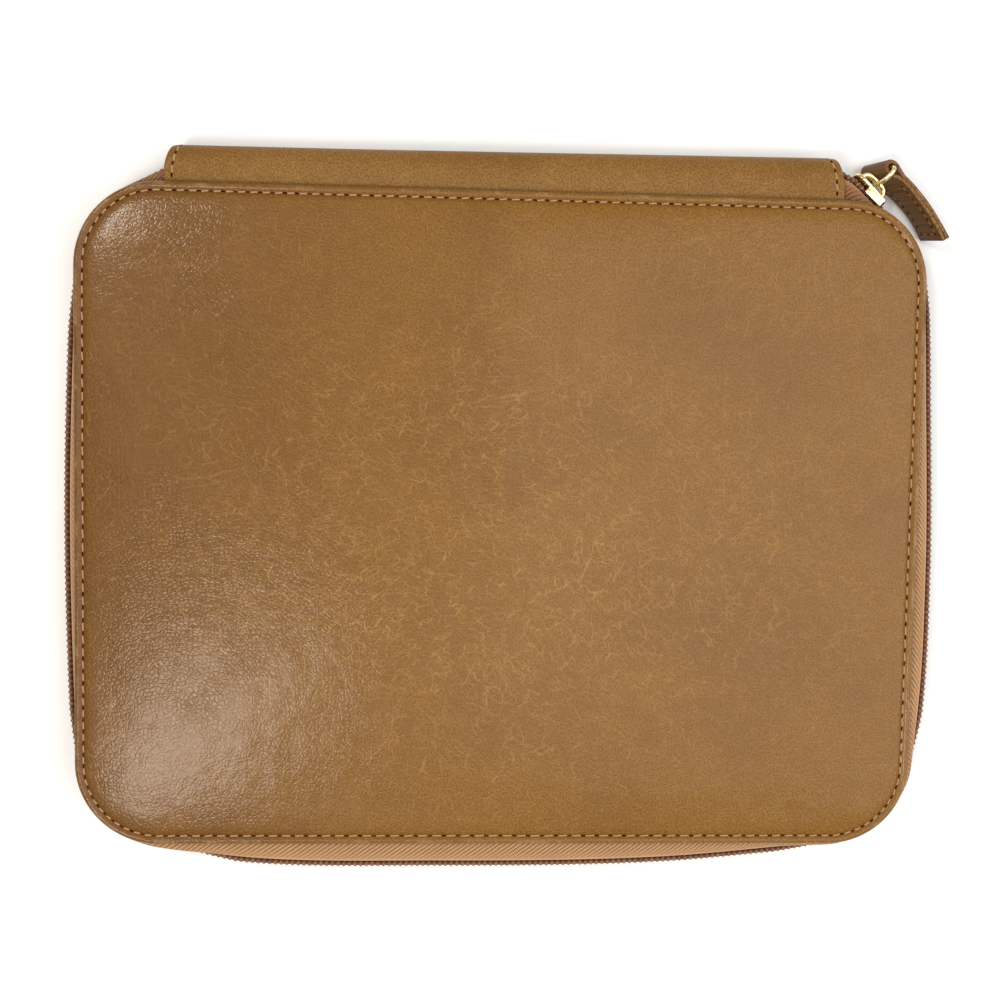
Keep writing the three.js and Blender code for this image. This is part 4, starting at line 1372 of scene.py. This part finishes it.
@dataclass
class Zip:
    """The zip: two woven tapes and the two halves of its coil."""

    plan: Plan
    bulge: float = 10.8
    tape_wall: float = 1.0
    tape_seam: float = 9.0
    coil_width: float = 2.9
    coil_height: float = 2.1
    mouth: float = 1.0
    turn_pitch: float = 2.1
    wire: float = 1.3
    rolled_in: float = 1.7  # distance that a full roll takes the chain inwards
    rolled_out: float = 1.9  # distance that it takes the tape outwards

    def __post_init__(self) -> None:
        """Reads the chain's line."""
        places = [self.plan.place_of(row[0], row[1]) for row in ZIP_LINE]
        self.first, self.last = places[0], places[-1]
        self.bulge_at = smooth_reading(places, [row[2] for row in ZIP_LINE])
        self.mouth_at = linear_reading(places, [row[3] for row in ZIP_LINE])
        self.tuck_at = linear_reading(places, [row[4] for row in ZIP_LINE])
        rolled = [self.plan.place_of(row[0], row[1]) for row in ROLL]
        self.roll_at = linear_reading(rolled, [row[2] for row in ROLL])

    def chain(self, at: float) -> Array:
        """The chain's outer line in plan."""
        point, out = self.plan.rim(at)
        return point + out * self.bulge * self.bulge_at(at)

    def station(self, at: float) -> Station:
        """The zip's frames and sizes at a place on the outline."""
        rim, rim_out = self.plan.rim(at)
        run = unit(self.chain(at + 0.5) - self.chain(at - 0.5))
        tuck = self.tuck_at(at) * (self.plan.spine_wall + self.plan.gap)
        held = self.plan.middle - self.plan.cover - self.plan.gap - self.tape_wall / 2 - tuck
        split = self.plan.gap / 2 + self.mouth * self.mouth_at(at)
        out = np.array([run[1], -run[0]])
        bulge, roll = self.bulge * self.bulge_at(at), self.roll_at(at)
        return Station(rim, rim_out, self.chain(at), out, bulge, split, held, roll)

    def stations(self) -> list[Station]:
        """Stations along the whole zip."""
        places = [at for at in self.plan.places(3.0, 18) if self.first + 1 < at < self.last - 1]
        return [self.station(at) for at in (self.first, *places, self.last)]

    def tape_ring(self, s: Station, side: Side) -> tuple[Array, Array]:
        """The tape's contour at a station.

        Args:
            s: the station.
            side: the half of the case.

        Returns:
            The contour's points, and the distance of each from the folded edge.
        """
        out = s.bulge - self.coil_height - self.plan.gap - self.tape_wall / 2 - 0.15
        band = out - self.rolled_in * s.roll
        brow = out + self.rolled_out * s.roll
        shoulder = min(s.split + self.coil_width + self.tape_wall / 4, s.held)
        start = -2 * self.tape_wall
        line, weight = [(-self.tape_seam, s.held)], [0.0]
        pull = start + (brow - start) * 0.8
        for q in np.linspace(0, 1, 13):
            a, b, c, d = (1 - q) ** 3, 3 * (1 - q) ** 2 * q, 3 * (1 - q) * q * q, q**3
            bow = brow + (brow - band) * 0.5
            x = a * start + b * (start + (pull - start) * 0.8) + c * bow + d * band
            eased = s.held * 0.55 + shoulder * 0.45
            line.append((x, (a + b) * s.held + c * eased + d * shoulder))
            weight.append(q)
        for q in (0.35, 0.7, 0.93, 1.0):
            line.append((band, shoulder + (s.split - shoulder) * q))
            weight.append(1.0)
        flat = np.array(line)
        wall = np.full(len(flat), self.tape_wall / 2)
        wall[8:] = 0.36
        wall[0], wall[-1] = 0.3, 0.2
        contour = wall_contour(flat, wall)
        weights = np.r_[weight, weight[::-1]]
        along = lengths_along(flat)
        inward = along[13] - along
        plan = s.placed(contour[:, 0], weights)
        z = self.plan.middle + side.value * contour[:, 1]
        return np.c_[plan, z], np.r_[inward, inward[::-1]]

    def tape(self, side: Side) -> Shell:
        """One tape's skin with its surface map."""
        stations = self.stations()
        travel = lengths_along(np.array([s.chain for s in stations]))
        rings, maps = [], []
        for s, along in zip(stations, travel):
            ring, inward = self.tape_ring(s, side)
            rings.append(ring)
            inward = np.r_[inward, inward[:1]]
            maps.append(np.c_[np.full(len(inward), along), inward])
        return Shell(np.array(rings), uv=np.array(maps))

    def coil_line(self, side: Side) -> tuple[Array, Array]:
        """The middle line of half the coil.

        Args:
            side: the half of the case.

        Returns:
            Its points and its outward directions.
        """
        points, tops = [], []
        for s in self.stations():
            high = min(s.split + self.coil_width, s.held)
            plan = s.chain - s.chain_out * (self.coil_height / 2 + self.rolled_in * s.roll)
            points.append((*plan, self.plan.middle + side.value * (s.split + high) / 2))
            tops.append((*s.chain_out, 0.0))
        return np.array(points), np.array(tops)

    def build(
        self, cloth: bpy.types.Material, nylon: bpy.types.Material, core: Any, coils: RowTree
    ) -> None:
        """Makes the tapes, the coils and the cord inside each coil.

        Args:
            cloth: the tapes' finish.
            nylon: the coils' finish.
            core: the finish of the cord inside each coil.
            coils: the tree of a coil.
        """
        for side in Side:
            half = side.name.lower()
            tape = shell_object(f"zip_tape_{half}_cloth", [self.tape(side)], [cloth])
            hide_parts(f"zip_tape_{half}")
            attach(tape, "root")
            line, tops = self.coil_line(side)
            first = 0.6 if side is Side.FRONT else 0.6 + self.turn_pitch / 2
            at = np.arange(first, lengths_along(line)[-1] - 0.3, self.turn_pitch)
            values = {"Material": nylon, "Depth": (self.coil_height + 0.2) * MM, "Seed": 1}
            values |= {"Width": (self.coil_width + 0.25) * MM, "Wire": self.wire * MM}
            values["Slant"] = 0.3 * side.value
            spots = Spots.on_line(line, tops, at)
            turns = coils.make(f"zip_coil_{half}_turns", spots, values)
            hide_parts(f"zip_coil_{half}")
            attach(turns, "root")
            section = ellipse(self.coil_height / 2 - 0.36, self.coil_width / 2 - 0.4, 8)
            upward = np.tile(UP, (len(line), 1))
            cord = shell_object(
                f"zip_coil_{half}_cord", [Shell(swept(line, tops, upward, section))], [core]
            )
            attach(cord, "root")
            log.info("zip, %s half: tape, %d coil faces", half, len(turns.data.polygons))


# ---- slider and pull ------------------------------------------------------------------------


def bend_points(points: Sequence[Sequence[float]], steps: int) -> Array:
    """Points of a curve pulled by three or four handles.

    Args:
        points: the curve's ends and handles.
        steps: how many steps to take.

    Returns:
        The curve's points.
    """
    handles = np.array(points, float)
    order = len(handles) - 1
    q = np.linspace(0, 1, steps + 1)[:, None]
    shares = [math.comb(order, k) * (1 - q) ** (order - k) * q**k for k in range(order + 1)]
    return np.sum([share * handle for share, handle in zip(shares, handles)], axis=0)


@dataclass
class Slider:
    """The zip's slider, in its own frame: x towards its mouth, y outwards, z down."""

    plan: Plan
    chain: Zip
    share: float = 0.835  # of the corner by the spine's right end
    length: float = 15.5
    front: float = 11.6
    rear: float = 10.0
    plate: float = 1.3
    bridge_length: float = 12.0
    bridge_width: float = 3.0
    bridge_wall: float = 1.3
    bridge_opening: float = 3.4

    def frame(self) -> tuple[Array, Array]:
        """The slider's place and its three directions.

        Returns:
            The origin and a matrix with a direction in each column.
        """
        s = self.chain.station(self.plan.place_of("corner_spine_right", self.share))
        out = np.array([*s.chain_out, 0.0])
        run = np.cross(UP, out)
        return np.array([*s.chain, self.plan.middle]), np.c_[run, out, np.cross(run, out)]

    def set_in_place(self, shell: Shell) -> Shell:
        """A skin carried from the slider's own frame to the case's."""
        origin, axes = self.frame()
        shell.rings = shell.rings @ axes.T + origin
        return shell

    def plate_outline(self, length: float, front: float, rear: float) -> Array:
        """A plate's outline along and across the slider, wider at the mouth."""
        a, f, r = length / 2, front / 2, rear / 2
        soft = rear / 4
        side = [(-a, r - soft), (-a, r), (soft - a, r)]
        nose = [(a / 2, f), (a, f), (a, f / 3)]
        upper = np.r_[bend_points(side, 6), bend_points(nose, 8)]
        lower = upper[::-1] * (1, -1)
        return np.r_[upper, lower]

    def arch(self) -> Shell:
        """The bridge that holds the ring."""
        face = self.plan.gap + self.plate
        half, top = self.bridge_length / 2 - self.bridge_wall / 2, face + self.bridge_opening
        high = top + self.bridge_wall / 2
        foot = face - self.plate / 2
        left = bend_points([(-half, foot), (-half, high), (-half * 0.55, high), (0, high)], 14)
        right = (left[:-1] * (-1, 1))[::-1]
        line = np.r_[left, right]
        normal = across_line(line)
        count = len(line)
        path = np.c_[line, np.zeros(count)]
        through = np.c_[normal, np.zeros(count)]
        across = np.tile(UP, (count, 1))
        section = rounded_bar(self.bridge_width, self.bridge_wall, 0.5)
        return Shell(swept(path, across, through, section))

    def build(self, gold: bpy.types.Material) -> None:
        """Makes the slider.

        Args:
            gold: its finish.
        """
        gap, z = self.plan.gap, self.chain
        outer = gap + self.plate
        inner = -z.coil_height - z.tape_wall - 2 * gap
        reach = self.length / 2
        rim = self.plate_outline(self.length, self.front, self.rear)
        low = self.plate_outline(self.length - 2 * self.plate, 2 * z.coil_width, 2 * z.coil_width)
        shells = [
            cushion_plate(rim, gap, outer, 0.42),
            cushion_plate(low, inner - self.plate, inner, 0.4),
            self.arch(),
        ]
        post = rounded_bar(reach * 0.45, 2 * (z.mouth - gap), 0.3) + (reach * 0.575, 0.0)
        shells.append(cushion_plate(post, inner - 0.5, outer - 0.4, 0.1))
        width = self.rear / 2 - z.coil_width - 3 * gap
        for side in (-1, 1):
            middle = side * (self.rear / 2 - width / 2)
            lip = rounded_bar(reach, width, 0.25) + (-reach * 0.35, middle)
            shells.append(cushion_plate(lip, -z.coil_height + 0.3, gap + 0.4, 0.25))
        piece = shell_object("slider_metal", [self.set_in_place(s) for s in shells], [gold])
        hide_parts("slider")
        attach(piece, "root")
        log.info("slider: %d faces", len(piece.data.polygons))


@dataclass
class Pull:
    """The wire ring in the slider's bridge and the folded leather strap on it."""

    plan: Plan
    slider: Slider
    wire: float = 1.4
    ring_depth: float = 7.0
    ring_swing: float = 10.0
    ring_lean: float = 15.0
    width: float = 11.3
    length: float = 36.5
    layer: float = 1.5
    loop_bore: float = 3.4
    loop_length: float = 9.5
    rake: float = 17.0
    end_lean: float = 18.0
    # along, heading, height, lean
    route: tuple[tuple[float, float, float, float], ...] = (
        (0, -90, 1, 20), (0.2, -84, 0.85, 20), (0.45, -93, 0.4, 14), (0.7, -104, 0.1, 14),
        (1, -110, 0, 18),
    )

    @property
    def rake_slope(self) -> float:
        """How far the fold is off square, as a slope."""
        return math.tan(math.radians(self.rake))

    def out(self) -> Array:
        """The slider's outward direction."""
        return self.slider.frame()[1][:, 1]

    def turned(self, direction: Array, degrees: float) -> Array:
        """A level direction at an angle from another."""
        c, s = math.cos(math.radians(degrees)), math.sin(math.radians(degrees))
        x, y, z = direction
        return np.array([c * x - s * y, s * x + c * y, z])

    def across(self, along: Array, lean: float) -> Array:
        """The direction across the strap for a direction along it and a lean."""
        level = unit(np.cross(UP, along))
        tilt = math.radians(lean)
        made = level * math.sin(tilt) + UP * math.cos(tilt)
        return unit(made - along * (made @ along))

    def ring_frame(self) -> tuple[Array, Array, Array]:
        """The ring's place in the bridge, its way out and its bar's direction."""
        out = self.out()
        along = self.turned(out, self.route[0][1])
        bar = unit(self.across(along, self.ring_lean) + along * self.rake_slope)
        way = self.turned(out, self.ring_swing)
        way = unit(way - bar * (way @ bar))
        s = self.slider
        origin = s.frame()[0] + out * (self.plan.gap + s.plate + s.bridge_opening / 2)
        return origin, way, bar

    def ring(self) -> Shell:
        """The D-shaped wire ring."""
        origin, way, bar = self.ring_frame()
        half = self.width / 2 * math.hypot(1, self.rake_slope) + self.wire + self.plan.gap
        corner = self.wire
        depth = self.ring_depth
        turn = np.linspace(math.pi / 2, 1.5 * math.pi, 40)
        bow = np.c_[(depth - corner) * (1 + np.cos(turn)), half * np.sin(turn)]
        lower = bend_points([(depth - corner, -half), (depth, -half), (depth, corner - half)], 8)
        upper = bend_points([(depth, half - corner), (depth, half), (depth - corner, half)], 8)
        straight = np.c_[np.full(5, depth), np.linspace(corner - half, half - corner, 7)[1:-1]]
        line = np.r_[bow, lower[1:], straight, upper[:-1]]
        run = np.roll(line, -1, axis=0) - np.roll(line, 1, axis=0)
        run /= np.linalg.norm(run, axis=1)[:, None]
        normal = np.c_[run[:, 1], -run[:, 0]]
        path = origin + line[:, :1] * way + line[:, 1:] * bar
        outward = normal[:, :1] * way + normal[:, 1:] * bar
        side = np.tile(np.cross(way, bar), (len(line), 1))
        section = rounded_bar(self.wire, self.wire * 1.1, self.wire * 0.42, 4)
        return Shell(swept(path, outward, side, section), round_whole=True)

    def stations(self) -> list[tuple[float, Array, Array, Array]]:
        """Stations along the strap's middle.

        Returns:
            The distance from the bar, the place, and the directions across and through.
        """
        origin, way, _ = self.ring_frame()
        start = origin + way * self.ring_depth
        lean = math.radians(self.end_lean)
        floor = 2 * self.plan.gap + self.width / 2 * math.cos(lean) + self.layer * math.sin(lean)
        along, heading, height, tilt = zip(*self.route)
        read_heading = smooth_reading(along, heading)
        read_height = smooth_reading(along, height)
        read_lean = smooth_reading(along, tilt)
        steps, out = 16, self.out()
        places, leans, place = [], [], start.copy()
        for k in range(steps + 1):
            places.append(place.copy())
            leans.append(read_lean(k / steps))
            place = place + self.turned(out, read_heading(k / steps)) * self.length / steps
            place[2] = floor + (start[2] - floor) * read_height(min((k + 1) / steps, 1))
        made = []
        for k, place in enumerate(places):
            run = unit(places[min(k + 1, steps)] - places[max(k - 1, 0)])
            across = self.across(run, leans[k])
            made.append((k * self.length / steps, place, across, np.cross(across, run)))
        return made

    def point(self, stations: list, along: float, through: float, across: float) -> Array:
        """A place on the strap.

        Args:
            stations: the strap's stations.
            along: distance from the bar.
            through: distance through its thickness.
            across: distance across its width.

        Returns:
            The place.
        """
        step = stations[1][0]
        at = along + across * self.rake_slope
        k = min(max(int(math.floor(at / step)), 0), len(stations) - 2)
        share = (at - stations[k][0]) / step
        mix = min(max(share, 0), 1)
        (_, pa, aa, ta), (_, pb, ab, tb) = stations[k], stations[k + 1]
        centre = pa + (pb - pa) * share
        return centre + (ta + (tb - ta) * mix) * through + (aa + (ab - aa) * mix) * across

    def strip_line(self) -> Array:
        """The strip's own middle line, from one end round the bar to the other.

        Returns:
            Distances along and through the strap.
        """
        half = self.layer / 2 + 0.03
        loop = self.loop_bore / 2 + self.layer / 2
        outer = self.loop_bore / 2 + self.layer
        neck, end = self.loop_length - outer, self.length - outer
        run = np.r_[np.linspace(end, end - 9, 7), np.linspace(end - 9, neck, 16)[1:]]
        parted = half + 0.22 * np.clip((run - (end - 9)) / 9, 0, 1) ** 2
        far = np.c_[run, parted]
        q = np.linspace(0, 1, 9)[1:-1]
        shrink = half + (loop - half) * (1 - np.cos(q * math.pi)) / 2
        throat = np.c_[neck * (1 - q), shrink]
        turn = np.linspace(math.pi / 2, 1.5 * math.pi, 19)
        fold = np.c_[loop * np.cos(turn), loop * np.sin(turn)]
        return np.r_[far, throat, fold, (throat * (1, -1))[::-1], (far * (1, -1))[::-1]]

    def strap(self) -> Shell:
        """The folded strap as one strip, with its surface map.

        Returns:
            The skin; its long sides are the cut edges.
        """
        stations = self.stations()
        line = self.strip_line()
        normal = across_line(line)
        along = lengths_along(line)
        section = rounded_bar(self.width, self.layer - 0.04, 0.3, 3)
        count = len(section)
        rings, maps = [], []
        for (x, y), (nx, ny), travel in zip(line, normal, along):
            ring = [self.point(stations, x + nx * b, y + ny * b, a) for a, b in section]
            rings.append(ring)
            inward = self.width / 2 - np.abs(section[:, 0])
            inward = np.r_[inward, inward[:1]]
            maps.append(np.c_[np.full(count + 1, travel), inward])
        flat_sides = tuple(
            c for c in range(count)
            if min(abs(section[c, 0]), abs(section[(c + 1) % count, 0])) > self.width / 2 - 0.25
        )
        return Shell(np.array(rings), uv=np.array(maps), edge_columns=flat_sides)

    def sewing(self) -> list[tuple[Array, Array, Array]]:
        """Lines of stitches on both faces of the strap: two along it and one across its end.

        Returns:
            Points, directions of the top and distances of the holes, for each line.
        """
        stations = self.stations()
        outer = self.loop_bore / 2 + self.layer
        start, end = self.loop_length - outer + 1.5, self.length - outer - 2.6
        edge = self.width / 2 - 2.1
        runs = np.linspace(start, end, 40)
        cross = np.linspace(-edge, edge, 12)
        routes = [[(x, edge) for x in runs], [(x, -edge) for x in runs], [(end, y) for y in cross]]
        lines = []
        for face in (-1, 1):
            for route in routes:
                top = face * (self.layer + 0.06)
                points = np.array([self.point(stations, x, top, y) for x, y in route])
                deep = np.array([self.point(stations, x, 0.0, y) for x, y in route])
                length = lengths_along(points)[-1]
                at = np.linspace(0.2, length - 0.2, max(round(length / 3.2), 2) + 1)
                lines.append((points, points - deep, at))
        return lines

    def build(self, gold: Any, leather: Any, cut: Any, sewing: Sewing) -> None:
        """Makes the ring, the strap and its stitches.

        Args:
            gold: the ring's finish.
            leather: the strap's finish.
            cut: the finish of the strap's cut edges.
            sewing: its thread and needle holes.
        """
        ring = shell_object("pull_ring_metal", [self.ring()], [gold])
        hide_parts("pull_ring")
        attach(ring, "root")
        strap = shell_object("pull_strap_leather", [self.strap()], [leather, cut])
        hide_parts("pull_strap")
        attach(strap, "root")
        sewing.sew("pull_strap", self.sewing())
        log.info("pull: ring, strap and its stitches")


# ---- the studio -----------------------------------------------------------------------------


@dataclass
class Studio:
    """Floor, light and camera."""

    lens: float = 43.2
    eye: tuple[float, float, float] = (-25.035, 34.213, 451.836)
    turn: tuple[float, float, float] = (-0.0610014, -0.0532555, 0.0178186)
    floor_half: float = 3.0

    def camera(self) -> None:
        """Sets the camera above the case."""
        made = bpy.data.cameras.new("camera")
        made.lens, made.sensor_width, made.clip_start = self.lens, 36.0, 0.01
        eye = bpy.data.objects.new("camera", made)
        eye.location = [c * MM for c in self.eye]
        eye.rotation_euler = self.turn
        bpy.context.scene.collection.objects.link(eye)
        bpy.context.scene.camera = eye

    def floor(self) -> None:
        """Lays the pale floor."""
        s = Sheet("pale floor")
        shade = s.noise(s.places(), 0.004, 3)
        colour = s.blend(s.span(shade, 0.4, 0.6, 0, 1), (0.93, 0.935, 0.94, 1), (0.97, 0.97, 0.97, 1))
        finish = s.finish({"Base Color": colour, "Roughness": 0.8, "Specular IOR Level": 0.2})
        h = self.floor_half
        mesh = bpy.data.meshes.new("floor")
        mesh.from_pydata([(-h, -h, 0), (h, -h, 0), (h, h, 0), (-h, h, 0)], [], [(0, 1, 2, 3)])
        mesh.materials.append(finish)
        floor = bpy.data.objects.new("floor", mesh)
        bpy.context.scene.collection.objects.link(floor)

    def lamp(self, name: str, at: Sequence[float], size: Sequence[float], watts: float) -> None:
        """Hangs a soft oblong light that faces the case.

        Args:
            name: the light's name.
            at: its place in metres.
            size: its sides in metres.
            watts: its power.
        """
        made = bpy.data.lights.new(name, "AREA")
        made.shape, made.size, made.size_y, made.energy = "RECTANGLE", *size, watts
        made.color = (1.0, 0.93, 0.83) if "window" in name else (1.0, 1.0, 1.0)
        lamp = bpy.data.objects.new(name, made)
        lamp.location = at
        lamp.rotation_euler = (-lamp.location).to_track_quat("-Z", "Y").to_euler()
        bpy.context.scene.collection.objects.link(lamp)

    def light(self) -> None:
        """Fills the studio with soft light and hangs two windows to its left and a panel right."""
        world = bpy.data.worlds.new("studio")
        bpy.context.scene.world = world
        world.use_nodes = True
        sky = world.node_tree.nodes["Background"]
        sky.inputs[0].default_value = (1.0, 1.0, 1.0, 1.0)
        sky.inputs[1].default_value = 0.45
        self.lamp("window by the open edge", (-0.35, -0.37, 1.0), (0.2, 0.34), 4.2)
        self.lamp("window by the spine", (-0.52, 0.4, 1.0), (0.16, 0.14), 3.2)
        self.lamp("panel to the right", (0.66, -0.05, 1.0), (1.0, 1.5), 9.0)
        view = bpy.context.scene.view_settings
        view.view_transform, view.look = "Standard", "None"

    def build(self) -> None:
        """Sets up the studio."""
        self.camera()
        self.floor()
        self.light()
        log.info("studio: camera, floor and lights")


def main() -> None:
    """Builds the case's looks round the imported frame."""
    logging.basicConfig(level=logging.INFO, format="%(message)s")
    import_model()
    plan = Plan()
    Studio().build()
    threads, holes = thread_tree(), hole_tree()
    sewing = Sewing(Thread("light thread").material(), NeedleHoleShade().material(), threads, holes)
    cover_leather = Leather("cover leather", plan.seam).material()
    spine_leather = Leather(
        "spine leather", tone=(140, 102, 48), creases=0.35, left_painted_shade=0.15, fade=0.3, coat=0.04,
        dull=0.12, mapped=True, pebbled=0.25,
    ).material()
    for side in Side:
        Cover(plan, side).build(cover_leather, sewing)
    Spine(plan).build(spine_leather, sewing)
    chain = Zip(plan)
    nylon = Nylon("coil nylon").material()
    # The cord inside each coil is a real part; its colour, darker than the coil, is painted shade for
    # the gaps between the turns.
    core = Nylon("coil cord", (92, 50, 34), 0.8).material()
    chain.build(TapeCloth().material(), nylon, core, coil_tree())
    gold = Gold().material()
    slider = Slider(plan, chain)
    slider.build(gold)
    # Painted shade: the strap's leather tones are darker than the cover's, for its upright face that
    # turns away from the light.
    dark = {"tone": (108, 76, 42), "deep": (80, 54, 28), "pale": (136, 100, 60)}
    strap_leather = Leather(
        "pull leather", creases=0.3, left_painted_shade=0.0, coat=0.1, dull=0.1, mapped=True, **dark
    ).material()
    brown = Thread("brown thread", (146, 104, 70)).material()
    strap_sewing = Sewing(brown, sewing.hole, threads, holes, 0.55, 0.36, 1.3, 0.7)
    Pull(plan, slider).build(gold, strap_leather, CutEdge().material(), strap_sewing)


if __name__ == "__main__":
    main()
